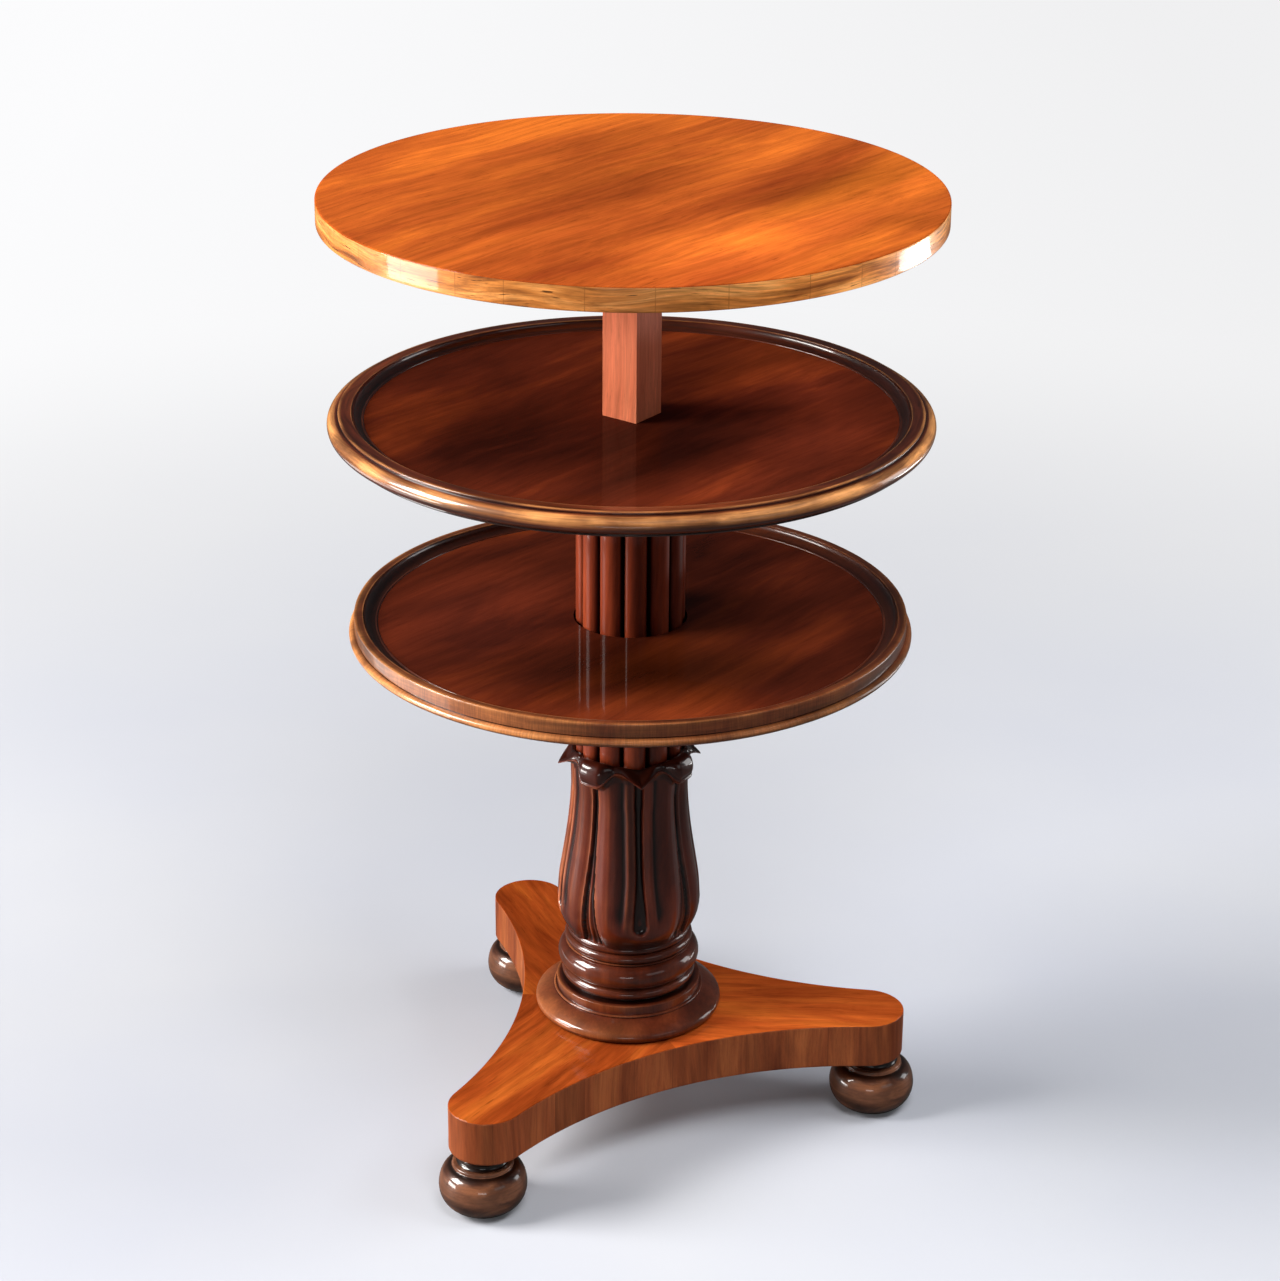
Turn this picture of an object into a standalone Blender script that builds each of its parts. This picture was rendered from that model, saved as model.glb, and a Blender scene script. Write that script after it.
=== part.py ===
"""Three-tier metamorphic table. The top slides down on a square post into a reeded column, and the
lower tier slides up that column, so that the three tiers close into one deep round table top."""

import math

import bmesh
import bpy
from mathutils import Matrix

# Clearances
FIT = 0.0003
SLIDE = 0.0005
TIER_HOLE_GAP = 0.002
NEST_CLEARANCE = 0.002
BORE_END_GAP = 0.004
OVERSHOOT = 0.002

# Heights of the stack, from the floor up
FOOT_HEIGHT = 0.062
PLATFORM_THICKNESS = 0.045
COLLAR_HEIGHT = 0.0195
BALUSTER_HEIGHT = 0.182
BARE_REED_HEIGHT = 0.128
LOWER_TIER_THICKNESS = 0.022
LOWER_GAP = 0.177
MIDDLE_TIER_THICKNESS = 0.022
UPPER_GAP = 0.177
TOP_THICKNESS = 0.022

# Top
TOP_RADIUS = 0.280
BANDING_THICKNESS = 0.002
ARRIS = 0.0008

# Dished tiers
DISH_DEPTH = 0.008
MIDDLE_FLOOR_RADIUS = 0.243
MIDDLE_COVE_WIDTH = 0.0105
MIDDLE_RING_WIDTH = 0.0125
QUIRK_DEPTH = 0.0025
BULLNOSE_OVERHANG = 0.010
BULLNOSE_UNDERCUT = 0.003
LOWER_FLOOR_RADIUS = 0.2355
LOWER_COVE_WIDTH = 0.013
LOWER_RING_WIDTH = 0.0085
LOWER_BAND_HEIGHT = 0.0135
LOWER_BEAD_OVERHANG = 0.005
LOWER_BEAD_HEIGHT = 0.007

# Post and the fittings that guide it
POST_SIDE = 0.038
POST_TURN = math.radians(-126.0)
POST_TENON = 0.010
GUIDE_WALL = 0.006
GUIDE_LENGTH = 0.060
SHOE_HEIGHT = 0.025
SHOE_FLOOR = 0.008
POST_FLANGE_WIDTH = 0.040

# Reeded column
COLUMN_RADIUS = 0.0512
REED_COUNT = 12
REED_DEPTH = 0.0065
REED_SHARE = 0.77
REED_TURN = math.radians(-83.7)
CUP_DEPTH = 0.030
SHANK_RADIUS = 0.030
TENON_SHOULDER = 0.008
WEDGE_THICKNESS = 0.005
WEDGE_TAPER = 0.4
WEDGE_LENGTH = 0.028
COLUMN_FLANGE_WIDTH = 0.034

# Hub, stop ring and pins of the lower tier
HUB_WIDTH = 0.034
HUB_HEIGHT = 0.026
HUB_TOOTH = 0.0025
STOP_WIDTH = 0.010
STOP_HEIGHT = 0.012
PIN_RADIUS = 0.0025
PIN_BITE = 0.008

# Lotus baluster
PETAL_COUNT = 8
LOTUS_TURN = math.radians(-77.3)
BALUSTER_BASE_RADIUS = 0.060
BELLY_SWELL = 0.013
BELLY_LEVEL = 0.027
NECK_WALL = 0.0043
NECK_BELOW_LIP = 0.034
LIP_OVERHANG = 0.0138
LIP_DROP = 0.006
PETAL_VALLEY = 0.07
NECK_LOBING = 0.3
NECK_EASE = 0.75

# Turned rings between the collar and the baluster
BEAD_RADIUS = 0.062
BEAD_HEIGHT = 0.013
GROOVE_RADIUS = 0.0575
GROOVE_HEIGHT = 0.003
FILLET_RADIUS = 0.0635
FILLET_HEIGHT = 0.0015
TORUS_RADIUS = 0.069
TORUS_HEIGHT = 0.021
SMALL_TORUS_RADIUS = 0.0625
SMALL_TORUS_HEIGHT = 0.014
COVE_RADIUS = 0.0585
COVE_HEIGHT = 0.004
DRUM_RADIUS = 0.0705
DRUM_HEIGHT = 0.011
COLLAR_RADIUS = 0.0925
COLLAR_SEAT_RADIUS = 0.076
COLLAR_NOSE = 0.005

# Platform and feet
FOOT_COUNT = 3
FIRST_FOOT_ANGLE = math.radians(236.5)
FOOT_CIRCLE_RADIUS = 0.242
FOOT_SETOUT = 0.007
TIP_RADIUS = 0.036
WAIST_RADIUS = 0.1045
FOOT_RADIUS = 0.0415
FOOT_PAD_RADIUS = 0.019
FOOT_EQUATOR = 0.025
FOOT_BUN_HEIGHT = 0.047
FOOT_LIP_RADIUS = 0.0275
FOOT_LIP_HEIGHT = 0.003
FOOT_NECK_RADIUS = 0.0245
SPIGOT_RADIUS = 0.011
SPIGOT_LENGTH = 0.028

# Screws
SCREW_COUNT = 4
SCREW_RADIUS = 0.002
SCREW_HEAD_RADIUS = 0.004
SCREW_HEAD_DEPTH = 0.0025
SCREW_BITE = 0.008
SCREW_TIP = 0.003

# Spring catches
SPRING_LENGTH = 0.058
SPRING_WIDTH = 0.008
SPRING_THICKNESS = 0.0012
SPRING_REACH = 0.004
SPRING_SLOT_DEPTH = 0.0052
SPRING_FLAT = 0.024
CATCH_SCREW_INSET = 0.010
CATCH_SCREW_RADIUS = 0.0015
CATCH_HEAD_RADIUS = 0.003
CATCH_HEAD_HEIGHT = 0.0016

# Facets round a full turn
WIDE_SEGMENTS = 64
TURNED_SEGMENTS = 36
FOOT_SEGMENTS = 20
SMALL_SEGMENTS = 12
REED_FACETS = 7
ARC_STEPS = 4
BALUSTER_FACETS = 48
BELLY_STEPS = 4
NECK_STEPS = 7
LIP_STEPS = 3

# Finishes: colour, roughness, metallic
TOP_MAHOGANY = ((0.42, 0.13, 0.03, 1.0), 0.30, 0.0)
DARK_MAHOGANY = ((0.16, 0.035, 0.014, 1.0), 0.22, 0.0)
EDGE_MAHOGANY = ((0.36, 0.16, 0.06, 1.0), 0.35, 0.0)
RAW_WOOD = ((0.55, 0.25, 0.15, 1.0), 0.75, 0.0)
STEEL = ((0.35, 0.34, 0.32, 1.0), 0.40, 1.0)
BRASS = ((0.70, 0.50, 0.20, 1.0), 0.30, 1.0)

# Levels and sizes that follow from the driving dimensions
SOCLE_HEIGHT = (
    DRUM_HEIGHT + COVE_HEIGHT + SMALL_TORUS_HEIGHT + TORUS_HEIGHT
    + FILLET_HEIGHT + GROOVE_HEIGHT + BEAD_HEIGHT
)
PLATFORM_TOP = FOOT_HEIGHT + PLATFORM_THICKNESS
COLLAR_TOP = PLATFORM_TOP + COLLAR_HEIGHT
SOCLE_TOP = COLLAR_TOP + SOCLE_HEIGHT
LEAF_TOP = SOCLE_TOP + BALUSTER_HEIGHT
CUP_FLOOR = LEAF_TOP - CUP_DEPTH
LOWER_UNDERSIDE = LEAF_TOP + BARE_REED_HEIGHT
LOWER_RING_TOP = LOWER_UNDERSIDE + LOWER_TIER_THICKNESS
MIDDLE_UNDERSIDE = LOWER_RING_TOP + LOWER_GAP
MIDDLE_RING_TOP = MIDDLE_UNDERSIDE + MIDDLE_TIER_THICKNESS
MIDDLE_FLOOR = MIDDLE_RING_TOP - DISH_DEPTH
TOP_UNDERSIDE = MIDDLE_RING_TOP + UPPER_GAP
LOWER_TRAVEL = LOWER_GAP - SLIDE
FLANGE_THICKNESS = DISH_DEPTH - NEST_CLEARANCE
LOWER_BOARD_THICKNESS = LOWER_TIER_THICKNESS - DISH_DEPTH
MIDDLE_BOARD_THICKNESS = MIDDLE_TIER_THICKNESS - DISH_DEPTH
BORE_SIDE = POST_SIDE + 2 * GUIDE_WALL
POST_HOLE = POST_SIDE + 2 * SLIDE
SHOE_TOP = MIDDLE_UNDERSIDE - GUIDE_LENGTH - FIT
SHOE_BOTTOM = SHOE_TOP - SHOE_HEIGHT
BORE_FLOOR = SHOE_BOTTOM - UPPER_GAP - BORE_END_GAP
TENON_RADIUS = SHANK_RADIUS - TENON_SHOULDER
HUB_BOTTOM = LOWER_UNDERSIDE - HUB_HEIGHT
STOP_TOP = HUB_BOTTOM - FIT
TIP_CENTRE_RADIUS = FOOT_CIRCLE_RADIUS - FOOT_SETOUT


def clear_scene():
    for obj in list(bpy.data.objects):
        bpy.data.objects.remove(obj, do_unlink=True)


def add_collection(name, helper):
    collection = bpy.data.collections.new(name)
    collection.hide_render = helper
    bpy.context.scene.collection.children.link(collection)
    return collection


def add_body(name):
    """An empty on the sliding axis, which carries every piece that moves together."""
    body = bpy.data.objects.new(name, None)
    PARTS.objects.link(body)
    return body


def finish_part(obj, body, finish):
    colour, roughness, metallic = finish
    material = bpy.data.materials.new(obj.name)
    material.use_nodes = True
    shader = material.node_tree.nodes["Principled BSDF"]
    shader.inputs["Base Color"].default_value = colour
    shader.inputs["Roughness"].default_value = roughness
    shader.inputs["Metallic"].default_value = metallic
    obj.data.materials.clear()
    obj.data.materials.append(material)
    obj.parent = body
    PARTS.objects.link(obj)
    return obj


def make_helper(obj):
    obj.hide_render = True
    obj.display_type = "WIRE"
    CUTTERS.objects.link(obj)
    return obj


def combine(target, other, operation):
    boolean = target.modifiers.new(other.name, "BOOLEAN")
    boolean.operation = operation
    boolean.object = other
    boolean.solver = "EXACT"


def cut(target, cutter):
    combine(target, cutter, "DIFFERENCE")


def mesh_object(name, bm):
    mesh = bpy.data.meshes.new(name)
    bmesh.ops.recalc_face_normals(bm, faces=bm.faces)
    bm.to_mesh(mesh)
    bm.free()
    mesh.shade_smooth()
    mesh.set_sharp_from_angle(angle=math.radians(30))
    return bpy.data.objects.new(name, mesh)


def polar(radius, angle):
    return (radius * math.cos(angle), radius * math.sin(angle))


def arc(centre, radii, start, end, steps=ARC_STEPS):
    """Points on an upright ellipse, from one angle to another in degrees, both ends included."""
    angles = [math.radians(start + (end - start) * i / steps) for i in range(steps + 1)]
    return [
        (centre[0] + radii[0] * math.cos(a), centre[1] + radii[1] * math.sin(a)) for a in angles
    ]


def turned(name, profile, segments, ring=False):
    """A lathe piece. A ring's profile is closed, and any other starts and ends on the axis."""
    mesh = bpy.data.meshes.new(name)
    edges = [(i, i + 1) for i in range(len(profile) - 1)]
    if ring:
        edges.append((len(profile) - 1, 0))
    mesh.from_pydata([(radius, 0.0, height) for radius, height in profile], edges, [])
    obj = bpy.data.objects.new(name, mesh)
    screw = obj.modifiers.new("turn", "SCREW")
    screw.steps = segments
    screw.render_steps = segments
    screw.use_merge_vertices = True
    screw.merge_threshold = 0.00001
    screw.use_smooth_shade = True
    return obj


def cylinder(name, radius, height, segments):
    return turned(name, [(0.0, height), (radius, height), (radius, 0.0), (0.0, 0.0)], segments)


def prism(name, outlines, height):
    """A flat outline, with any further outlines as holes in it, made solid from z = 0 upward."""
    curve = bpy.data.curves.new(name, "CURVE")
    curve.dimensions = "2D"
    curve.fill_mode = "BOTH"
    curve.extrude = height / 2
    for outline in outlines:
        spline = curve.splines.new("POLY")
        spline.points.add(len(outline) - 1)
        spline.use_cyclic_u = True
        for point, (x, y) in zip(spline.points, outline):
            point.co = (x, y, 0.0, 1.0)
    flat = bpy.data.objects.new(name, curve)
    CUTTERS.objects.link(flat)
    evaluated = flat.evaluated_get(bpy.context.evaluated_depsgraph_get())
    mesh = bpy.data.meshes.new_from_object(evaluated)
    bpy.data.objects.remove(flat)
    bpy.data.curves.remove(curve)
    bm = bmesh.new()
    bm.from_mesh(mesh)
    bpy.data.meshes.remove(mesh)
    bmesh.ops.remove_doubles(bm, verts=bm.verts, dist=0.000001)
    bmesh.ops.translate(bm, verts=bm.verts, vec=(0.0, 0.0, height / 2))
    return mesh_object(name, bm)


def box(name, low, high):
    bm = bmesh.new()
    bmesh.ops.create_cube(bm, size=1.0)
    size = [b - a for a, b in zip(low, high)]
    middle = [(a + b) / 2 for a, b in zip(low, high)]
    bmesh.ops.scale(bm, verts=bm.verts, vec=size)
    bmesh.ops.translate(bm, verts=bm.verts, vec=middle)
    return mesh_object(name, bm)


def square(side):
    half = side / 2
    return [(-half, -half), (half, -half), (half, half), (-half, half)]


def square_bore(name, side, low, high):
    cutter = make_helper(prism(name, [square(side)], high - low))
    cutter.location.z = low
    cutter.rotation_euler.z = POST_TURN
    return cutter


def round_bore(name, radius, low, high):
    cutter = make_helper(cylinder(name, radius, high - low, TURNED_SEGMENTS))
    cutter.location.z = low
    return cutter


def wood_screw_profile(length, grow, head_overshoot):
    """A countersunk screw that points up, with its head's flat face at z = 0."""
    return [
        (0.0, length + grow),
        (SCREW_RADIUS + grow, length + grow - SCREW_TIP),
        (SCREW_RADIUS + grow, SCREW_HEAD_DEPTH),
        (SCREW_HEAD_RADIUS + grow, 0.0),
        (SCREW_HEAD_RADIUS + grow, -head_overshoot),
        (0.0, -head_overshoot),
    ]


def add_wood_screw(name, body, place, length, hosts):
    """One screw with its flat head at this place, and its clearance hole in the pieces it holds."""
    screw = turned(name, wood_screw_profile(length, 0.0, FIT), SMALL_SEGMENTS)
    screw.location = (place[0], place[1], place[2] + FIT)
    finish_part(screw, body, STEEL)
    hole = turned(name + "_hole", wood_screw_profile(length, FIT, OVERSHOOT), SMALL_SEGMENTS)
    hole.location = screw.location
    make_helper(hole)
    for host in hosts:
        cut(host, hole)


def add_screw_ring(stem, body, circle_radius, turn, level, length, hosts):
    for index in range(SCREW_COUNT):
        x, y = polar(circle_radius, turn + 2 * math.pi * index / SCREW_COUNT)
        add_wood_screw(f"{stem}_{index + 1}", body, (x, y, level), length, hosts)


def platform_outline(inset):
    """Three rounded tips joined by concave sides that run into them with no corner."""
    spread = TIP_CENTRE_RADIUS + 2 * TIP_RADIUS - 2 * WAIST_RADIUS
    side_radius = (
        TIP_CENTRE_RADIUS**2 + WAIST_RADIUS**2 - TIP_CENTRE_RADIUS * WAIST_RADIUS - TIP_RADIUS**2
    ) / spread
    side_centre = side_radius + WAIST_RADIUS
    pitch = 360.0 / FOOT_COUNT
    tip = (TIP_CENTRE_RADIUS, 0.0)
    middle = polar(side_centre, math.radians(pitch / 2))
    lean = math.degrees(math.atan2(middle[1] - tip[1], middle[0] - tip[0]))
    tip_round = [TIP_RADIUS - inset] * 2
    side_round = [side_radius + inset] * 2
    half_side = lean - pitch / 2
    points = []
    for index in range(FOOT_COUNT):
        angle = math.degrees(FIRST_FOOT_ANGLE) + index * pitch
        tip_centre = polar(TIP_CENTRE_RADIUS, math.radians(angle))
        points += arc(tip_centre, tip_round, angle - lean, angle + lean, 2 * ARC_STEPS)
        bisector = angle + pitch / 2
        hollow_centre = polar(side_centre, math.radians(bisector))
        points += arc(
            hollow_centre,
            side_round,
            bisector + 180.0 + half_side,
            bisector + 180.0 - half_side,
            2 * ARC_STEPS,
        )[1:-1]
    return points


def add_platform(body):
    inset = BANDING_THICKNESS + FIT
    platform = prism("platform", [platform_outline(inset)], PLATFORM_THICKNESS)
    platform.location.z = FOOT_HEIGHT
    finish_part(platform, body, TOP_MAHOGANY)
    low = FOOT_HEIGHT - OVERSHOOT
    cut(platform, round_bore("tenon_hole", TENON_RADIUS + FIT, low, PLATFORM_TOP + OVERSHOOT))
    banding = prism(
        "platform_banding",
        [platform_outline(0.0), platform_outline(BANDING_THICKNESS)],
        PLATFORM_THICKNESS,
    )
    banding.location.z = FOOT_HEIGHT
    finish_part(banding, body, EDGE_MAHOGANY)
    return platform


def foot_profile():
    neck_top = FOOT_HEIGHT - FIT
    lip_top = FOOT_BUN_HEIGHT + FOOT_LIP_HEIGHT
    neck_half = (neck_top - lip_top) / 2
    bun_top_radius = FOOT_LIP_RADIUS + FOOT_LIP_HEIGHT / 2
    upper = [FOOT_RADIUS - bun_top_radius, FOOT_BUN_HEIGHT - FOOT_EQUATOR]
    lower = [FOOT_RADIUS - FOOT_PAD_RADIUS, FOOT_EQUATOR]
    profile = [
        (0.0, FOOT_HEIGHT + SPIGOT_LENGTH),
        (SPIGOT_RADIUS, FOOT_HEIGHT + SPIGOT_LENGTH),
        (SPIGOT_RADIUS, neck_top),
    ]
    neck_centre = (FOOT_NECK_RADIUS - neck_half, lip_top + neck_half)
    profile += arc(neck_centre, [neck_half, neck_half], 90, -90)
    profile += [(FOOT_LIP_RADIUS, lip_top), (FOOT_LIP_RADIUS, FOOT_BUN_HEIGHT)]
    profile += arc((bun_top_radius, FOOT_EQUATOR), upper, 90, 0)
    profile += arc((FOOT_PAD_RADIUS, FOOT_EQUATOR), lower, 0, -90)[1:]
    profile.append((0.0, 0.0))
    return profile


def add_feet(body, platform):
    spigot_top = FOOT_HEIGHT + SPIGOT_LENGTH + FIT
    for index in range(FOOT_COUNT):
        angle = FIRST_FOOT_ANGLE + 2 * math.pi * index / FOOT_COUNT
        x, y = polar(FOOT_CIRCLE_RADIUS, angle)
        foot = turned(f"bun_foot_{index + 1}", foot_profile(), FOOT_SEGMENTS)
        foot.location = (x, y, 0.0)
        finish_part(foot, body, DARK_MAHOGANY)
        low = FOOT_HEIGHT - OVERSHOOT
        hole = round_bore(f"spigot_hole_{index + 1}", SPIGOT_RADIUS + FIT, low, spigot_top)
        hole.location.x = x
        hole.location.y = y
        cut(platform, hole)


def add_collar_ring(body):
    nose = [COLLAR_RADIUS - COLLAR_SEAT_RADIUS, COLLAR_HEIGHT - COLLAR_NOSE]
    bore = SHANK_RADIUS + FIT
    profile = [(bore, COLLAR_HEIGHT)]
    profile += arc((COLLAR_SEAT_RADIUS, COLLAR_NOSE), nose, 90, 0)
    heel = [COLLAR_NOSE, COLLAR_NOSE - FIT]
    profile += arc((COLLAR_RADIUS - COLLAR_NOSE, COLLAR_NOSE), heel, 0, -90)[1:]
    profile.append((bore, FIT))
    collar = turned("collar_ring", profile, TURNED_SEGMENTS, ring=True)
    collar.location.z = PLATFORM_TOP
    finish_part(collar, body, DARK_MAHOGANY)


def half_round(radius, low, height):
    """The outer half of a round moulding, from its top edge to its bottom edge."""
    half = height / 2
    return arc((radius - half, low + half), [half, half], 90, -90)


def square_step(radius, low, height):
    return [(radius, low + height), (radius, low)]


def add_turned_socle(body):
    rings = [
        (half_round, BEAD_RADIUS, BEAD_HEIGHT),
        (square_step, GROOVE_RADIUS, GROOVE_HEIGHT),
        (square_step, FILLET_RADIUS, FILLET_HEIGHT),
        (half_round, TORUS_RADIUS, TORUS_HEIGHT),
        (half_round, SMALL_TORUS_RADIUS, SMALL_TORUS_HEIGHT),
        (square_step, COVE_RADIUS, COVE_HEIGHT),
        (square_step, DRUM_RADIUS, DRUM_HEIGHT - FIT),
    ]
    bore = SHANK_RADIUS + FIT
    profile = [(bore, SOCLE_HEIGHT)]
    top = SOCLE_HEIGHT
    for shape, radius, height in rings:
        top -= height
        profile += shape(radius, top, height)
    profile.append((bore, FIT))
    socle = turned("turned_socle", profile, TURNED_SEGMENTS, ring=True)
    socle.location.z = COLLAR_TOP
    finish_part(socle, body, DARK_MAHOGANY)


def ease(start, end, share):
    return start + (end - start) * (1 - math.cos(math.pi * share)) / 2


def baluster_sections():
    """Height and radius of the baluster's outline, from the bead to the curled lip, and its lobing."""
    belly = COLUMN_RADIUS + NECK_WALL + BELLY_SWELL
    neck = COLUMN_RADIUS + NECK_WALL
    lip = COLUMN_RADIUS + LIP_OVERHANG
    lip_level = BALUSTER_HEIGHT - LIP_DROP
    neck_level = lip_level - NECK_BELOW_LIP
    sections = []
    for i in range(BELLY_STEPS):
        share = i / BELLY_STEPS
        level = FIT + (BELLY_LEVEL - FIT) * share
        radius = BALUSTER_BASE_RADIUS + (belly - BALUSTER_BASE_RADIUS) * math.sin(math.pi * share / 2)
        sections.append((level, radius, share))
    for i in range(NECK_STEPS):
        share = i / NECK_STEPS
        level = BELLY_LEVEL + (neck_level - BELLY_LEVEL) * share
        lobing = 1.0 - (1.0 - NECK_LOBING) * share
        sections.append((level, ease(belly, neck, share**NECK_EASE), lobing))
    for i in range(LIP_STEPS + 1):
        share = i / LIP_STEPS
        level = neck_level + (lip_level - neck_level) * share
        sections.append((level, ease(neck, lip, share), NECK_LOBING * (1.0 - share)))
    sections.append((BALUSTER_HEIGHT, lip - LIP_DROP, 0.0))
    return sections


def lobed_radius(radius, angle, lobing):
    """Drops into a valley between two petals."""
    valley = (1 - abs(math.sin(PETAL_COUNT / 2 * (angle - LOTUS_TURN)))) ** 2
    return radius * (1 - PETAL_VALLEY * lobing * valley)


def add_lotus_baluster(body):
    bm = bmesh.new()
    angles = [2 * math.pi * i / BALUSTER_FACETS for i in range(BALUSTER_FACETS)]
    rings = []
    for level, radius, lobing in baluster_sections():
        spread = [polar(lobed_radius(radius, a, lobing), a) for a in angles]
        rings.append([bm.verts.new((x, y, level)) for x, y in spread])
    for lower, upper in zip(rings, rings[1:]):
        for i in range(BALUSTER_FACETS):
            after = (i + 1) % BALUSTER_FACETS
            bm.faces.new([lower[i], lower[after], upper[after], upper[i]])
    bm.faces.new(list(reversed(rings[0])))
    bm.faces.new(rings[-1])
    baluster = mesh_object("lotus_baluster", bm)
    baluster.location.z = SOCLE_TOP
    finish_part(baluster, body, DARK_MAHOGANY)
    high = LEAF_TOP + OVERSHOOT
    cut(baluster, round_bore("shank_hole", SHANK_RADIUS + FIT, SOCLE_TOP - OVERSHOOT, high))
    cut(baluster, round_bore("leaf_cup", COLUMN_RADIUS + FIT, CUP_FLOOR, high))


def reed_radius(share):
    """Radius at this share of the way from a reed's crest, 0, to its edge, 1, and on in the groove."""
    groove = COLUMN_RADIUS - REED_DEPTH
    if share >= 1.0:
        return groove
    return groove + REED_DEPTH * math.sqrt(1.0 - share**2)


def column_outline():
    half_reed = math.pi / REED_COUNT * REED_SHARE
    points = []
    for reed in range(REED_COUNT):
        crest = REED_TURN + 2 * math.pi * reed / REED_COUNT
        for facet in range(REED_FACETS):
            share = math.sin(math.pi * (facet / (REED_FACETS - 1) - 0.5))
            points.append(polar(reed_radius(abs(share)), crest + half_reed * share))
    return points


def hub_bore_outline():
    """Follows the reeds with a sliding gap, and dips a little into each groove so that it can't turn."""
    half_pitch = math.pi / REED_COUNT
    rim = COLUMN_RADIUS + SLIDE
    tooth = rim - HUB_TOOTH
    bite = math.sqrt(1.0 - (1.0 - HUB_TOOTH / REED_DEPTH) ** 2) * half_pitch * REED_SHARE
    gap = SLIDE / COLUMN_RADIUS
    points = []
    for reed in range(REED_COUNT):
        crest = REED_TURN + 2 * math.pi * reed / REED_COUNT
        for turn in (-bite - gap, 0.0, bite + gap):
            points.append(polar(rim, crest + turn))
        for turn in (bite + 2 * gap, 2 * half_pitch - bite - 2 * gap):
            points.append(polar(tooth, crest + turn))
    return points


def add_column(body):
    column = prism("reeded_column", [column_outline()], MIDDLE_UNDERSIDE - FIT - CUP_FLOOR - FIT)
    column.location.z = CUP_FLOOR + FIT
    finish_part(column, body, DARK_MAHOGANY)
    shank_low = PLATFORM_TOP + FIT
    shank = round_bore("shank", SHANK_RADIUS, shank_low, CUP_FLOOR + OVERSHOOT)
    tenon = round_bore("tenon", TENON_RADIUS, FOOT_HEIGHT + FIT, shank_low + OVERSHOOT)
    combine(column, shank, "UNION")
    combine(column, tenon, "UNION")
    cut(column, square_bore("post_bore", BORE_SIDE, BORE_FLOOR, MIDDLE_UNDERSIDE + OVERSHOOT))
    add_tenon_wedge(body, column)
    return column


def add_tenon_wedge(body, column):
    """A wedge driven up into a saw cut in the tenon's end."""
    reach = TENON_RADIUS - 2 * FIT
    half = WEDGE_THICKNESS / 2
    low = FOOT_HEIGHT + FIT
    wedge = box("tenon_wedge", (-reach, -half, 0.0), (reach, half, WEDGE_LENGTH))
    for vertex in wedge.data.vertices:
        if vertex.co.z > WEDGE_LENGTH / 2:
            vertex.co.y *= WEDGE_TAPER
    wedge.location.z = low
    finish_part(wedge, body, EDGE_MAHOGANY)
    side = TENON_RADIUS + OVERSHOOT
    slot_half = half + FIT
    slot = box("wedge_slot", (-side, -slot_half, -OVERSHOOT), (side, slot_half, WEDGE_LENGTH + FIT))
    for vertex in slot.data.vertices:
        if vertex.co.z > WEDGE_LENGTH / 2:
            vertex.co.y = math.copysign(half * WEDGE_TAPER + FIT, vertex.co.y)
    slot.location.z = low
    cut(column, make_helper(slot))


def add_post_guide(body):
    outlines = [square(BORE_SIDE - 2 * FIT), square(POST_HOLE)]
    guide = prism("post_guide", outlines, GUIDE_LENGTH - 2 * FIT)
    guide.location.z = MIDDLE_UNDERSIDE - GUIDE_LENGTH + FIT
    guide.rotation_euler.z = POST_TURN
    finish_part(guide, body, RAW_WOOD)


def add_flange(name, body, inner, width, level):
    """A thin turned flange whose upper face meets the board at this level."""
    profile = [
        (inner, FLANGE_THICKNESS - FIT),
        (inner + width, FLANGE_THICKNESS - FIT),
        (inner + width, 0.0),
        (inner, 0.0),
    ]
    flange = turned(name, profile, TURNED_SEGMENTS, ring=True)
    flange.location.z = level - FLANGE_THICKNESS
    return finish_part(flange, body, DARK_MAHOGANY)


def add_middle_tier(body):
    board = cylinder(
        "middle_tier_board", MIDDLE_FLOOR_RADIUS - FIT, MIDDLE_BOARD_THICKNESS, WIDE_SEGMENTS
    )
    board.location.z = MIDDLE_UNDERSIDE
    finish_part(board, body, DARK_MAHOGANY)
    high = MIDDLE_FLOOR + OVERSHOOT
    cut(board, square_bore("middle_post_hole", POST_HOLE, MIDDLE_UNDERSIDE - OVERSHOOT, high))
    inner = COLUMN_RADIUS + FIT
    flange = add_flange("column_flange", body, inner, COLUMN_FLANGE_WIDTH, MIDDLE_UNDERSIDE)
    add_screw_ring(
        "flange_screw",
        body,
        inner + COLUMN_FLANGE_WIDTH / 2,
        POST_TURN,
        MIDDLE_UNDERSIDE - FLANGE_THICKNESS,
        FLANGE_THICKNESS + SCREW_BITE,
        [flange, board],
    )
    add_middle_rim(body)


def dished_inside(floor_radius, cove_width, tier_thickness):
    """The inner face of a rim: up the board's edge, then out along the cove to the flat ring."""
    floor = tier_thickness - DISH_DEPTH
    cove = arc((floor_radius, tier_thickness), [cove_width, DISH_DEPTH], -90, 0)
    return [(floor_radius, 0.0), (floor_radius, floor)] + cove[1:]


def add_middle_rim(body):
    thickness = MIDDLE_TIER_THICKNESS
    edge = MIDDLE_FLOOR_RADIUS + MIDDLE_COVE_WIDTH + MIDDLE_RING_WIDTH
    quirk = thickness - QUIRK_DEPTH
    nose = (quirk - BULLNOSE_UNDERCUT) / 2
    profile = dished_inside(MIDDLE_FLOOR_RADIUS, MIDDLE_COVE_WIDTH, thickness)
    profile.append((edge, thickness))
    profile += arc((edge, BULLNOSE_UNDERCUT + nose), [BULLNOSE_OVERHANG, nose], 90, -90, 2 * ARC_STEPS)
    profile.append((edge, 0.0))
    rim = turned("middle_tier_rim", profile, WIDE_SEGMENTS, ring=True)
    rim.location.z = MIDDLE_UNDERSIDE
    finish_part(rim, body, EDGE_MAHOGANY)


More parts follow.
